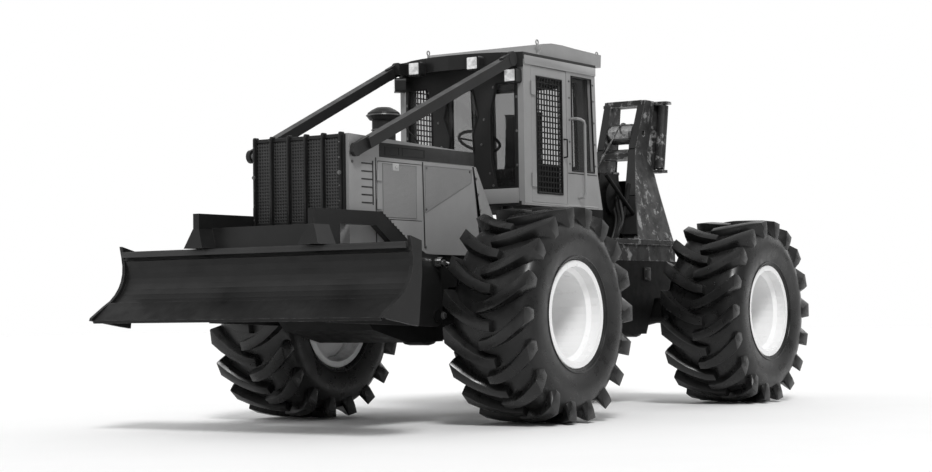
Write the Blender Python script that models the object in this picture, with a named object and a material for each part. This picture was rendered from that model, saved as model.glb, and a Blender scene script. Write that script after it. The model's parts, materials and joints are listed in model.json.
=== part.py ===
"""Articulated cable skidder. Metres, +Z up, the blade towards -Y and the machine's left side towards +X.
Heights are above the ground. Lengths along Y are measured from the centre hinge, and the whole machine is then
moved so that its origin is under the middle of its length."""

import math

import bpy
import bmesh
from mathutils import Vector

# Wheels and axles
wheelbase = 3.70
tyre_track = 2.443
tyre_radius = 0.89
tyre_width = 0.775
rim_width = 0.69
rim_flange_radius = 0.4375
rim_seat_radius = 0.406
rim_well_radius = 0.372
rim_wall = 0.014
rim_disc_inset = 0.20
hub_radius = 0.19
axle_tube_radius = 0.11
differential_radius = 0.25
trunnion_radius = 0.08

# Frames and centre hinge
frame_half_width = 0.45
frame_wall = 0.03
frame_top = 1.40
frame_bottom = 0.68
axle_arch_half = 0.30
axle_arch_top = 1.13
hinge_gap = 0.25
hinge_lug_radius = 0.13
hinge_pin_radius = 0.045
hinge_lug_thickness = 0.05
upper_lug_z = 1.29
lower_lug_z = 0.76
rear_frame_end = 2.42
deck_top = 1.61
deck_thickness = 0.05

# Hood and grille
hood_half_width = 0.48
hood_wall = 0.02
hood_front = -3.46
hood_rear_top = -1.69
hood_rear_bottom = -1.56
hood_split = 2.16
hood_top_front = 2.33
hood_top_rear = 2.28
hood_door_front = -3.09
hood_door_rear = -2.47
hood_door_bottom = 1.668
hood_door_top = 2.135
grille_bottom = 1.62
grille_half_width = 0.45
grille_thickness = 0.035
precleaner_y = -2.33
precleaner_radius = 0.10
precleaner_cap_radius = 0.143
precleaner_top = 2.65

# Cab
cab_half_width = 0.66
cab_wall = 0.035
cab_front = -1.155
cab_rear = 0.12
cab_rear_kick = 0.21
cab_bottom = 1.85
cab_top = 3.13
roof_thickness = 0.06
cab_door_front = -1.03
cab_door_rear = -0.42
cab_door_bottom = 1.875
cab_door_top = 3.085
cab_door_thickness = 0.03
door_window_margin = 0.085
glass_thickness = 0.006
seat_y = -0.40
seat_top = 2.22

# Blade and push frame
blade_half_width = 1.44
blade_top = 1.447
blade_back = -3.88
end_plate_thickness = 0.03
cutting_edge_thickness = 0.026
arm_inner = 0.54
arm_thickness = 0.06
arm_top = 1.72
blade_pivot = (-2.456, 0.896)
blade_pivot_radius = 0.05
lever_eye = (-2.456, 1.326)
lift_base = (-1.42, 1.15)
lift_x = 0.645
lift_barrel_radius = 0.048
lift_rod_radius = 0.026
lift_barrel_length = 0.74

# Steering cylinders
steer_base = (0.24, -0.65)
steer_eye = (0.26, 0.15)
steer_z = 1.05
steer_barrel_radius = 0.042
steer_rod_radius = 0.022
steer_barrel_length = 0.50

# Arch, winch and fairlead
arch_foot_front = 1.28
arch_foot_rear = 2.04
arch_top = 3.05
winch_axis = (1.16, 2.02)
winch_drum_radius = 0.14
winch_flange_radius = 0.25
winch_half_length = 0.17
winch_shaft_radius = 0.04
cable_radius = 0.008
fairlead_axis = (1.844, 2.706)
fairlead_radius = 0.105
side_roller_x = 0.31
side_roller_foot = (2.02, 2.35)
side_roller_head = (2.13, 3.00)
side_roller_radius = 0.052

# Clearances
gap = 0.0003
running_gap = 0.0008
moving_gap = 0.006

# Details
wheel_steps = 36
rim_disc_half = 0.010
rim_pilot_radius = 0.12
rear_saddle_z = 1.03
bulkhead_y = 0.82
frame_nose = -3.45
lift_eye_half = 0.035
lift_pin_radius = 0.028
steer_pin_radius = 0.020
steer_ear_gap = 0.050
steer_ear_thickness = 0.020
door_pin_radius = 0.008
grille_bays = 5
grille_rib = 0.022
post_width = 0.06
seat_thickness = 0.11
guard_foot = (hood_half_width + 0.0435, -3.43, 2.20)
guard_top = (0.615, -1.27, 3.12)
guard_size = 0.085
guard_lug_half = 0.018
guard_seat_x = 0.5937

front_axle_y = -wheelbase / 2
rear_axle_y = wheelbase / 2
blade_tip = (-4.355, 0.892)
middle_of_length = (blade_tip[0] + rear_axle_y + tyre_radius) / 2
cab_hinge_x = cab_half_width + door_pin_radius + gap
cab_hinge_y = cab_door_front - 0.004
hood_hinge_x = hood_half_width + door_pin_radius + gap
hood_hinge_y = hood_door_front - 0.004
grille_hinge_x = grille_half_width + 0.012
grille_hinge_y = hood_front - 0.019

sides = (("left", 1), ("right", -1))
side_name = {1: "left", -1: "right"}
materials = {}
bodies = {}


def clear_scene():
    for old in list(bpy.data.objects):
        bpy.data.objects.remove(old, do_unlink=True)


def finish(name, colour, roughness, metallic=0.0, alpha=1.0):
    made = bpy.data.materials.new(name)
    made.use_nodes = True
    shader = made.node_tree.nodes["Principled BSDF"]
    shader.inputs["Base Color"].default_value = (*colour, 1.0)
    shader.inputs["Roughness"].default_value = roughness
    shader.inputs["Metallic"].default_value = metallic
    shader.inputs["Alpha"].default_value = alpha
    made.diffuse_color = (*colour, alpha)
    materials[name] = made


def body(name, origin=(0, 0, 0), parent=None):
    """An empty on the body's joint axis, which carries the body's pieces."""
    empty = bpy.data.objects.new(name + "_axis", None)
    empty.empty_display_size = 0.2
    bpy.context.scene.collection.objects.link(empty)
    place = Vector(origin)
    empty.location = place
    if parent:
        empty.parent = bodies[parent][0]
        empty.location = place - bodies[parent][1]
    bodies[name] = (empty, place)


# A shell is one closed surface, held as (points, faces).


def prism(outline, along, low, high):
    """The outline, in the two other axes in X, Y, Z order, drawn out along one axis."""
    slot = "XYZ".index(along)
    points = []
    for reach in (low, high):
        for pair in outline:
            point = list(pair)
            point.insert(slot, reach)
            points.append(Vector(point))
    count = len(outline)
    faces = [tuple(range(count)), tuple(range(count, 2 * count))]
    faces += [(i, (i + 1) % count, (i + 1) % count + count, i + count) for i in range(count)]
    return points, faces


def box(low, high):
    return prism([(low[0], low[1]), (high[0], low[1]), (high[0], high[1]), (low[0], high[1])], "Z", low[2],
                 high[2])


def loft(sections):
    """Skins closed sections that have the same number of points."""
    count = len(sections[0])
    points = [Vector(point) for section in sections for point in section]
    faces = [tuple(range(count)), tuple(range(len(points) - count, len(points)))]
    for level in range(len(sections) - 1):
        base = level * count
        for i in range(count):
            nxt = (i + 1) % count
            faces.append((base + i, base + nxt, base + nxt + count, base + i + count))
    return points, faces


def ring_section(centre, direction, radius, sides, turn=0.0):
    direction = Vector(direction).normalized()
    across = direction.orthogonal().normalized()
    if abs(direction.x) > 0.99:
        across = Vector((0, 1, 0))
    if abs(direction.z) > 0.99:
        across = Vector((1, 0, 0))
    upright = direction.cross(across)
    section = []
    for i in range(sides):
        angle = 2 * math.pi * i / sides + turn
        section.append(Vector(centre) + radius * (math.cos(angle) * across + math.sin(angle) * upright))
    return section


def rod(start, end, radius, sides=16, turn=0.0):
    along = Vector(end) - Vector(start)
    return loft([ring_section(start, along, radius, sides, turn),
                 ring_section(end, along, radius, sides, turn)])


def tube(path, radius, sides=10):
    """A round bar swept through the points of a path, mitred at each of them."""
    path = [Vector(point) for point in path]
    sections = []
    across = None
    for i, point in enumerate(path):
        before = (point - path[max(i - 1, 0)]).normalized()
        after = (path[min(i + 1, len(path) - 1)] - point).normalized()
        direction = (before + after).normalized()
        across = direction.orthogonal().normalized() if across is None else across
        across = (across - across.dot(direction) * direction).normalized()
        upright = direction.cross(across)
        stretch = 1 / max(direction.dot(after if i == 0 else before), 0.5)
        section = []
        for k in range(sides):
            angle = 2 * math.pi * k / sides
            section.append(point + radius * stretch * (math.cos(angle) * across + math.sin(angle) * upright))
        sections.append(section)
    return loft(sections)


def turned(profile, axis, centre, steps=36):
    """A closed profile of (distance along the axis, radius) turned about the axis."""
    slot = "XYZ".index(axis)
    points, rows = [], []
    for along, radius in profile:
        row = []
        for i in range(steps if radius > 0 else 1):
            angle = 2 * math.pi * i / steps
            pair = [radius * math.cos(angle), radius * math.sin(angle)]
            pair.insert(slot, along)
            row.append(len(points))
            points.append(Vector(pair) + Vector(centre))
        rows.append(row)
    faces = []
    for row, nxt in zip(rows, rows[1:] + rows[:1]):
        if len(row) == len(nxt) == 1:
            continue
        for i in range(steps):
            j = (i + 1) % steps
            corners = [row[i % len(row)], row[j % len(row)], nxt[j % len(nxt)], nxt[i % len(nxt)]]
            faces.append(tuple(dict.fromkeys(corners)))
    return points, faces


def flipped(shell):
    points, faces = shell
    return [Vector((-p.x, p.y, p.z)) for p in points], faces


def both(*shells):
    """The shells and their mirror images across the machine's middle."""
    return list(shells) + [flipped(shell) for shell in shells]


def arc(centre, radius, start, end, steps):
    turns = [math.radians(start + (end - start) * i / steps) for i in range(steps + 1)]
    return [(centre[0] + radius * math.cos(a), centre[1] + radius * math.sin(a)) for a in turns]


def mesh_of(name, shells, origin):
    work = bmesh.new()
    for points, faces in shells:
        verts = [work.verts.new(point - origin) for point in points]
        for face in faces:
            work.faces.new([verts[i] for i in face])
    bmesh.ops.recalc_face_normals(work, faces=work.faces[:])
    mesh = bpy.data.meshes.new(name)
    work.to_mesh(mesh)
    work.free()
    return mesh


def helper(name, shells, origin, owner):
    obj = bpy.data.objects.new(name, mesh_of(name, shells, origin))
    bpy.context.scene.collection.objects.link(obj)
    obj.hide_render = True
    obj.display_type = "WIRE"
    obj.parent = owner
    return obj


def piece(name, carrier, material, base, cut=(), add=(), bore=(), smooth=False):
    """One named solid on a body: the base shells fused, then cut away, added to and bored, in that order."""
    empty, origin = bodies[carrier]
    obj = bpy.data.objects.new(name, mesh_of(name, base[:1], origin))
    bpy.context.scene.collection.objects.link(obj)
    obj.parent = empty
    obj.data.materials.append(materials[material])
    stages = (("base", "UNION", base[1:]), ("cut", "DIFFERENCE", cut), ("add", "UNION", add),
              ("bore", "DIFFERENCE", bore))
    for stage, operation, tools in stages:
        if not tools:
            continue
        modifier = obj.modifiers.new(stage, "BOOLEAN")
        modifier.operation = operation
        modifier.object = helper(f"{name}_{stage}", tools, origin, obj)
        modifier.use_self = len(tools) > 1
    if smooth:
        obj.data.shade_smooth()
        obj.data.set_sharp_from_angle(angle=math.radians(35))
    return obj


def make_materials():
    finish("body_paint", (0.44, 0.44, 0.44), 0.45)
    finish("dark_paint", (0.13, 0.13, 0.13), 0.45)
    finish("frame_paint", (0.045, 0.045, 0.045), 0.5)
    finish("blade_paint", (0.16, 0.16, 0.16), 0.5)
    finish("edge_steel", (0.07, 0.07, 0.07), 0.45, 0.6)
    finish("worn_steel", (0.22, 0.22, 0.21), 0.5, 0.7)
    finish("rod_chrome", (0.75, 0.75, 0.75), 0.15, 1.0)
    finish("rim_paint", (0.86, 0.86, 0.86), 0.3)
    finish("tyre_rubber", (0.035, 0.035, 0.035), 0.65)
    finish("grille_paint", (0.04, 0.04, 0.04), 0.45)
    finish("window_glass", (0.75, 0.78, 0.78), 0.05, 0.0, 0.35)
    finish("seat_cloth", (0.05, 0.05, 0.05), 0.9)
    finish("interior_plastic", (0.04, 0.04, 0.04), 0.6)


def make_bodies():
    body("front_chassis")
    body("rear_chassis", (0, 0, upper_lug_z), "front_chassis")
    body("blade", (0, *blade_pivot), "front_chassis")
    body("grille_door", (-grille_hinge_x, grille_hinge_y, grille_bottom), "front_chassis")
    body("winch_drum", (0, *winch_axis), "rear_chassis")
    body("fairlead_roller", (0, *fairlead_axis), "rear_chassis")
    for side, sign in sides:
        x = sign * tyre_track / 2
        body(f"front_{side}_wheel", (x, front_axle_y, tyre_radius), "front_chassis")
        body(f"rear_{side}_wheel", (x, rear_axle_y, tyre_radius), "rear_chassis")
        body(f"lift_barrel_{side}", (sign * lift_x, *lift_base), "front_chassis")
        body(f"lift_rod_{side}", (sign * lift_x, *lever_eye), f"lift_barrel_{side}")
        body(f"steering_barrel_{side}", (sign * steer_base[0], steer_base[1], steer_z), "front_chassis")
        body(f"steering_rod_{side}", (sign * steer_eye[0], steer_eye[1], steer_z),
             f"steering_barrel_{side}")
        body(f"cab_door_{side}", (sign * cab_hinge_x, cab_hinge_y, cab_door_bottom), "front_chassis")
        body(f"hood_door_{side}", (sign * hood_hinge_x, hood_hinge_y, hood_door_bottom), "front_chassis")
        body(f"side_roller_{side}", (sign * side_roller_x, *side_roller_foot), "rear_chassis")


def on_side(sign, *shells):
    """The shells, drawn for the machine's left side, on the side that the sign gives."""
    return list(shells) if sign > 0 else [flipped(shell) for shell in shells]


def make_wheel(name, carrier, sign, axle_y):
    """Tyre and rim. The rim's disc is set towards the machine, and its dish faces out."""
    centre = (sign * tyre_track / 2, axle_y, tyre_radius)
    half = tyre_width / 2
    bead = rim_width / 2 - rim_wall - gap
    tread = [(0, tyre_radius), (0.28, tyre_radius - 0.010), (half - 0.02, tyre_radius - 0.055)]
    wall = [(half, 0.70), (half - 0.03, 0.50), (bead, rim_flange_radius + 0.005)]
    profile = tread + wall + [(bead, rim_seat_radius + gap)]
    profile += [(-x, r) for x, r in reversed(profile[1:])]
    piece(f"{name}_tyre", carrier, "tyre_rubber", [turned(profile, "X", centre, wheel_steps)], smooth=True)
    rim_half = rim_width / 2
    seat_end = rim_half - rim_wall
    well = rim_well_radius - rim_wall
    seat = rim_seat_radius - rim_wall
    barrel = [(seat_end, rim_flange_radius), (seat_end, rim_seat_radius)]
    barrel += [(0.27, rim_seat_radius), (0.24, rim_well_radius)]
    outer = [(rim_half, rim_flange_radius)] + barrel
    outer += [(-x, r) for x, r in reversed(barrel)] + [(-rim_half, rim_flange_radius)]
    inner = [(-rim_half, seat), (-0.28, seat), (-0.25, well), (-rim_disc_inset - rim_disc_half, well)]
    inner += [(-rim_disc_inset - rim_disc_half, rim_pilot_radius),
              (-rim_disc_inset + rim_disc_half, rim_pilot_radius)]
    inner += [(-rim_disc_inset + rim_disc_half, well), (0.23, well), (0.26, seat), (rim_half, seat)]
    rim_profile = [(sign * x, r) for x, r in outer + inner]
    piece(f"{name}_rim", carrier, "rim_paint", [turned(rim_profile, "X", centre, wheel_steps)], smooth=True)


def axle_shell(axle_y):
    """Axle housing: the differential in the middle, a tube each way and the hub that the rim's disc sits on."""
    face = tyre_track / 2 - rim_disc_inset - rim_disc_half - gap
    pilot = rim_pilot_radius - running_gap
    half = [(0.10, differential_radius), (0.20, axle_tube_radius + 0.03), (0.34, axle_tube_radius)]
    half += [(face - 0.19, axle_tube_radius), (face - 0.16, hub_radius), (face, hub_radius)]
    half += [(face, pilot), (face + 2 * rim_disc_half + 0.01, pilot), (face + 2 * rim_disc_half + 0.01, 0)]
    profile = [(-x, r) for x, r in reversed(half)] + half
    return turned(profile, "X", (0, axle_y, tyre_radius), 20)


def make_axles():
    reach = axle_arch_half + frame_wall
    ends = [(0, front_axle_y + sign * reach, tyre_radius) for sign in (-1, 1)]
    trunnion = rod(*ends, trunnion_radius, 20)
    piece("front_axle", "front_chassis", "frame_paint", [axle_shell(front_axle_y), trunnion], smooth=True)
    pads = both(box((0.28, rear_axle_y - 0.16, tyre_radius - 0.05),
                    (frame_half_width + 0.02, rear_axle_y + 0.16, rear_saddle_z - gap)))
    piece("rear_axle", "rear_chassis", "frame_paint", [axle_shell(rear_axle_y)] + pads, smooth=True)


def hinge_plate(sign, low):
    """A lug plate: it spans the frame at its root and ends round on the hinge pin."""
    inner = frame_half_width - frame_wall / 2
    outline = [(inner, bulkhead_y + 0.02), (-inner, bulkhead_y + 0.02), (-inner, 0.42)]
    outline += arc((0, 0), hinge_lug_radius, 190, 350, 8) + [(inner, 0.42)]
    return prism([(x, sign * y) for x, y in outline], "Z", low, low + hinge_lug_thickness)


def make_front_frame():
    inner = frame_half_width - frame_wall
    arch_front = front_axle_y - axle_arch_half
    arch_rear = front_axle_y + axle_arch_half
    floor = frame_bottom + frame_wall
    above = frame_top + 0.1
    outline = [(frame_nose, frame_top), (frame_nose, 1.10), (-3.13, 0.79), (-2.66, frame_bottom)]
    outline += [(arch_front, frame_bottom), (arch_front, axle_arch_top - 0.10),
                (arch_front + 0.10, axle_arch_top)]
    outline += [(arch_rear - 0.10, axle_arch_top), (arch_rear, axle_arch_top - 0.10),
                (arch_rear, frame_bottom)]
    outline += [(-0.45, frame_bottom), (-hinge_gap, frame_bottom + 0.06), (-hinge_gap, frame_top)]
    nose_inside = frame_nose + 0.06
    bay_end = arch_front - frame_wall
    front_bay = [(nose_inside, above), (nose_inside, 1.12), (-3.10, 0.83), (-2.64, floor), (bay_end, floor),
                 (bay_end, above)]
    bays = [prism(front_bay, "X", -inner, inner),
            box((-inner, arch_front, 0.4), (inner, arch_rear, above)),
            box((-inner, arch_rear + frame_wall, floor), (inner, -bulkhead_y - frame_wall, above)),
            box((-inner, -bulkhead_y, 0.4), (inner, 0, above)),
            rod((0, arch_front - 0.1, tyre_radius), (0, arch_rear + 0.1, tyre_radius),
                trunnion_radius + running_gap, 20)]
    root = frame_half_width - frame_wall / 2
    fittings = [hinge_plate(-1, low) for low in (upper_lug_z, lower_lug_z)]
    fittings += both(rod((root, *blade_pivot), (arm_inner + arm_thickness + 0.015, *blade_pivot),
                         blade_pivot_radius, 20),
                     rod((root, *lift_base), (lift_x + lift_eye_half + 0.01, *lift_base), lift_pin_radius,
                         16),
                     rod((root, *lift_base), (lift_x - lift_eye_half - 0.004, *lift_base), 0.055, 16))
    for low in (steer_z - steer_ear_gap - steer_ear_thickness, steer_z + steer_ear_gap):
        ear = box((steer_base[0] - 0.05, -bulkhead_y - 0.02, low),
                  (steer_base[0] + 0.05, steer_base[1] + 0.04, low + steer_ear_thickness))
        fittings += both(ear)
    near = frame_half_width - frame_wall / 2
    for y in (-0.80, -0.435):
        fittings += both(box((near, y, 0.80), (near + 0.20, y + 0.015, 1.36)))
    for z in (0.80, 1.14):
        fittings += both(box((near, -0.80, z), (near + 0.235, -0.42, z + 0.03)))
    pin = steer_ear_gap + steer_ear_thickness + 0.01
    fittings += both(rod((*steer_base, steer_z - pin), (*steer_base, steer_z + pin), steer_pin_radius, 14))
    holes = [rod((0, 0, low - 0.02), (0, 0, low + hinge_lug_thickness + 0.02),
                 hinge_pin_radius + running_gap, 24)
             for low in (upper_lug_z, lower_lug_z)]
    piece("front_frame", "front_chassis", "frame_paint",
          [prism(outline, "X", -frame_half_width, frame_half_width)],
          cut=bays, add=fittings, bore=holes)


def make_rear_frame():
    inner = frame_half_width - frame_wall
    floor = frame_bottom + frame_wall
    above = frame_top + 0.1
    outline = [(hinge_gap, frame_top), (hinge_gap, frame_bottom + 0.02), (0.45, frame_bottom),
               (1.42, frame_bottom)]
    outline += [(rear_axle_y - 0.25, rear_saddle_z), (rear_axle_y + 0.25, rear_saddle_z),
                (rear_axle_y + 0.33, 0.80), (rear_frame_end - 0.04, 0.85)]
    outline += [(rear_frame_end, frame_top)]
    bays = [box((-inner, 0, 0.4), (inner, bulkhead_y, above)),
            box((-inner, bulkhead_y + frame_wall, floor), (inner, 1.39, above)),
            box((-inner, 1.45, 0.4), (inner, 2.11, above)),
            prism([(2.14, above), (2.14, 1.06), (2.20, 0.84), (rear_frame_end - 0.08, 0.89),
                   (rear_frame_end - 0.05, above)], "X", -inner, inner)]
    forks = []
    for low in (upper_lug_z, lower_lug_z):
        forks += [hinge_plate(1, low - hinge_lug_thickness - moving_gap),
                  hinge_plate(1, low + hinge_lug_thickness + moving_gap)]
        top = low + 2 * hinge_lug_thickness + moving_gap + 0.012
        forks.append(rod((0, 0, low - hinge_lug_thickness - moving_gap - 0.012), (0, 0, top),
                         hinge_pin_radius, 24))
    root = frame_half_width - frame_wall / 2
    tip = arc(steer_eye, 0.05, 150, 330, 8)
    for low in (steer_z - steer_ear_gap - steer_ear_thickness, steer_z + steer_ear_gap):
        ear = prism([(root, hinge_gap + 0.01), (root, 0.50), (0.33, 0.40)] + tip, "Z", low,
                    low + steer_ear_thickness)
        forks += both(ear)
    piece("rear_frame", "rear_chassis", "frame_paint",
          [prism(outline, "X", -frame_half_width, frame_half_width)],
          cut=bays, add=forks)


def cylinder_pair(name, sign, base, eye, barrel_radius, rod_radius, barrel_length, rod_start, cross, half,
                  pin_radius, eye_half):
    """A hydraulic cylinder on one side: its barrel turns on a pin, and its rod slides out of the gland."""
    start, end = Vector(base), Vector(eye)
    way = (end - start).normalized()
    cross = Vector(cross)
    inside = start + way * 0.09
    gland = start + way * (barrel_length + 0.055)
    barrel = [rod(start + way * 0.055, gland, barrel_radius, 18),
              rod(start - cross * half, start + cross * half, barrel_radius * 0.98, 18),
              rod(start, start + way * 0.08, barrel_radius * 0.6, 12)]
    barrel_bores = [rod(inside, gland + way * 0.05, rod_radius + running_gap, 16),
                    rod(start - cross * (half + 0.02), start + cross * (half + 0.02),
                        pin_radius + running_gap, 16)]
    piece(f"{name}_barrel_{side_name[sign]}", f"{name}_barrel_{side_name[sign]}", "frame_paint",
          on_side(sign, *barrel), cut=on_side(sign, *barrel_bores), smooth=True)
    shaft = rod(start + way * rod_start, end, rod_radius, 16)
    eye_ring = rod(end - cross * eye_half, end + cross * eye_half, barrel_radius * 0.95, 18)
    piece(f"{name}_rod_{side_name[sign]}", f"{name}_rod_{side_name[sign]}", "rod_chrome",
          on_side(sign, shaft, eye_ring), smooth=True)


def make_cylinders():
    for _, sign in sides:
        cylinder_pair("lift", sign, (lift_x, *lift_base), (lift_x, *lever_eye), lift_barrel_radius,
                      lift_rod_radius, lift_barrel_length, 0.50, (1, 0, 0),
                      lift_eye_half, lift_pin_radius, lift_eye_half - 0.006)
        cylinder_pair("steering", sign, (*steer_base, steer_z), (*steer_eye, steer_z), steer_barrel_radius,
                      steer_rod_radius, steer_barrel_length, 0.29, (0, 0, 1),
                      steer_ear_gap - gap, steer_pin_radius,
                      steer_ear_gap - moving_gap)


def bezier(first, pull, last, steps):
    points = []
    for i in range(steps + 1):
        t = i / steps
        points.append(tuple(a * (1 - t) ** 2 + 2 * b * t * (1 - t) + c * t * t for a, b,
                            c in zip(first, pull, last)))
    return points


def make_blade():
    """Moldboard with boxed stiffeners, upright ribs behind the arms and a plate on each end."""
    edge_top, edge_low = Vector((-4.135, 1.012)), Vector((-4.335, 0.870))
    slope = (edge_low - edge_top).normalized()
    square = Vector((-slope.y, slope.x)) * -1
    front = [(-3.955, blade_top), (-3.985, 1.372)] + bezier((-3.972, 1.366), (-3.885, 1.17),
                                                            (-4.125, 1.022), 8)
    seat_top = edge_top - square * gap
    seat_low = edge_low - square * gap - slope * 0.02
    front += [tuple(seat_top), tuple(seat_low)]
    back = [(-4.27, 0.885), (-4.06, 0.99), (blade_back, 1.13), (blade_back, blade_top)]
    skin = prism(front + back, "X", -blade_half_width + 0.01, blade_half_width - 0.01)
    pockets = []
    spans = ((-blade_half_width + 0.05, -arm_inner - arm_thickness - 0.06),
             (-arm_inner + 0.06, arm_inner - 0.06),
             (arm_inner + arm_thickness + 0.06, blade_half_width - 0.05))
    for low, high in spans:
        pocket = [(blade_back + 0.05, 1.36), (-3.925, 1.36), (-3.925, 1.16), (blade_back + 0.05, 1.16)]
        pockets.append(prism(pocket, "X", low, high))
    plate = [(-4.005, 1.487), (-3.86, 1.452), (-3.862, 1.20), (-3.91, 0.825), (-4.02, 0.84), blade_tip]
    plate += [(-4.345, 0.915), (-4.20, 1.005)] + bezier((-4.12, 1.05), (-3.93, 1.19), (-3.985, 1.40), 6)
    ends = both(prism(plate, "X", blade_half_width - end_plate_thickness, blade_half_width))
    box_low = prism([(blade_back, 1.13), (blade_back, 0.93), (-4.02, 0.93), (-4.10, 1.0), (-3.99, 1.14)],
                    "X",
                    -blade_half_width + 0.01, blade_half_width - 0.01)
    piece("blade", "blade", "blade_paint", [skin, box_low] + ends, cut=pockets)
    thick = square * cutting_edge_thickness
    edge = [edge_top, edge_low, edge_low + thick - slope * 0.004, edge_top + thick]
    reach = blade_half_width - end_plate_thickness - gap
    piece("cutting_edge", "blade", "edge_steel", [prism([tuple(p) for p in edge], "X", -reach, reach)])


def make_push_frame():
    """Two gooseneck arms: each stands on the blade's top, steps down over a serrated tread and ends in the lever."""
    front = blade_back + gap
    foot = blade_top + gap
    outline = [(front, foot), (-4.10, foot), (-4.072, 1.50), (-4.06, 1.58), (-4.06, arm_top),
               (-3.20, arm_top), (-2.87, 1.52)]
    outline += [(lever_eye[0] - 0.14, lever_eye[1] + 0.075)] + arc(lever_eye, 0.07, 70, -20, 5)
    outline += [(blade_pivot[0] + 0.09, blade_pivot[1] + 0.06)] + arc(blade_pivot, 0.09, 0, -90, 5) + [(front, 0.86)]
    arm = prism(outline, "X", arm_inner, arm_inner + arm_thickness)
    window = prism([(-3.74, 1.61), (-3.27, 1.61), (-2.98, 1.42), (-3.08, 1.16), (-3.74, 1.16)], "X",
                   arm_inner - 0.05, 0.7)
    middle = arm_inner + arm_thickness / 2
    flare = loft([[(middle + x, y, foot) for x,
                   y in ((-0.095, -4.10), (0.095, -4.10), (0.095, front), (-0.095, front))],
                  [(middle + x, y, 1.60) for x,
                   y in ((-0.03, -4.063), (0.03, -4.063), (0.03, -3.88), (-0.03, -3.88))]])
    plate = prism([(-3.935, foot), (-3.90, 1.61), (-3.88, 1.61), (-3.90, foot)], "X", -arm_inner - 0.01,
                  arm_inner + 0.01)
    tube_across = rod((-arm_inner - 0.01, -3.70, 1.0), (arm_inner + 0.01, -3.70, 1.0), 0.07, 16)
    boss = rod((arm_inner + 0.03, *lever_eye), (lift_x - lift_eye_half - 0.001, *lever_eye), 0.04, 16)
    bore = rod((0.4, *blade_pivot), (0.8, *blade_pivot), blade_pivot_radius + running_gap, 20)
    piece("push_frame", "blade", "blade_paint", [arm, flipped(arm), plate, tube_across] + both(flare, boss),
          cut=both(window, bore))


def make_hood():
    outline = [(hood_front, frame_top + gap), (hood_front, hood_split - gap),
               (hood_rear_top, hood_split - gap),
               (hood_rear_bottom, 1.60), (hood_rear_bottom, frame_top + gap)]
    wall = hood_wall
    inside = [(hood_front + wall, 1.3), (hood_front + wall, 2.3), (hood_rear_top - wall, 2.3),
              (hood_rear_top - wall, hood_split), (hood_rear_bottom - wall,
                                                   1.60), (hood_rear_bottom - wall, 1.3)]
    inner = hood_half_width - wall
    door_hole = box((inner - 0.1, hood_door_front, hood_door_bottom),
                    (hood_half_width + 0.1, hood_door_rear, hood_door_top))
    grille_hole = box((-grille_half_width + 0.03, hood_front - 0.1, grille_bottom + 0.02),
                      (grille_half_width - 0.03, hood_front + 0.1, 2.3))
    piece("hood_shell", "front_chassis", "body_paint",
          [prism(outline, "X", -hood_half_width, hood_half_width)],
          cut=[prism(inside, "X", -inner, inner), grille_hole] + both(door_hole))
    crown = [(hood_front, hood_split), (hood_front, hood_top_front), (hood_rear_top, hood_top_rear),
             (hood_rear_top, hood_split)]
    hollow = [(hood_front + wall, hood_split - 0.1), (hood_front + wall, hood_top_front - 0.03),
              (hood_rear_top - wall, hood_top_rear - 0.03), (hood_rear_top - wall, hood_split - 0.1)]
    stack_hole = rod((0, precleaner_y, 2.1), (0, precleaner_y, 2.5), precleaner_radius + gap, 24)
    front_hole = box((-grille_half_width + 0.03, hood_front - 0.1, hood_split - 0.1),
                     (grille_half_width - 0.03, hood_front + 0.1, 2.28))
    piece("hood_top", "front_chassis", "body_paint", [prism(crown, "X", -hood_half_width, hood_half_width)],
          cut=[prism(hollow, "X", -inner, inner), stack_hole, front_hole],
          add=both(rod((hood_half_width - 0.01, *guard_foot[1:]),
                       (guard_foot[0] - guard_lug_half - gap, *guard_foot[1:]), 0.028, 14)))
    profile = [(2.25, 0), (2.25, precleaner_radius), (2.54, precleaner_radius), (2.545, 0.12),
               (2.575, precleaner_cap_radius)]
    profile += [(2.605, precleaner_cap_radius - 0.008), (2.63, 0.10), (precleaner_top, 0.06),
                (precleaner_top, 0)]
    piece("air_precleaner", "front_chassis", "dark_paint", [turned(profile, "Z", (0, precleaner_y, 0), 24)],
          smooth=True)
    floor = frame_bottom + frame_wall
    piece("engine_block", "front_chassis", "edge_steel", [box((-0.30, -3.00, 0.86), (0.30, -2.24, 1.80)),
          box((-0.22, -2.62, floor + gap), (0.22, -2.26, 1.0))])
    core = min(frame_half_width - frame_wall, inner - 0.04) - 0.02
    piece("radiator", "front_chassis", "grille_paint",
          [box((-core, -3.37, frame_top + gap - 0.30), (core, -3.27, 2.20)),
          box((-inner + 0.002, -3.37, frame_top + gap), (inner - 0.002, -3.33, 1.46))])


def make_hood_door(side, sign):
    inner = hood_half_width - hood_wall
    leaf = box((inner, hood_door_front + moving_gap, hood_door_bottom + moving_gap),
               (hood_half_width + 0.002, hood_door_rear - moving_gap, hood_door_top - moving_gap))
    shells = [leaf]
    for z in (hood_door_bottom + 0.08, hood_door_top - 0.16):
        shells += [rod((hood_hinge_x, hood_hinge_y, z), (hood_hinge_x, hood_hinge_y, z + 0.08),
                       door_pin_radius, 12),
                   box((hood_half_width + gap + 0.001, hood_hinge_y - 0.002, z),
                       (hood_hinge_x + 0.006, hood_hinge_y + 0.05, z + 0.08)),
                   box((hood_half_width - 0.01, hood_hinge_y + 0.02, z),
                       (hood_hinge_x + 0.006, hood_hinge_y + 0.05, z + 0.08))]
    piece(f"hood_door_{side}", f"hood_door_{side}", "body_paint", on_side(sign, *shells))


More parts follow.
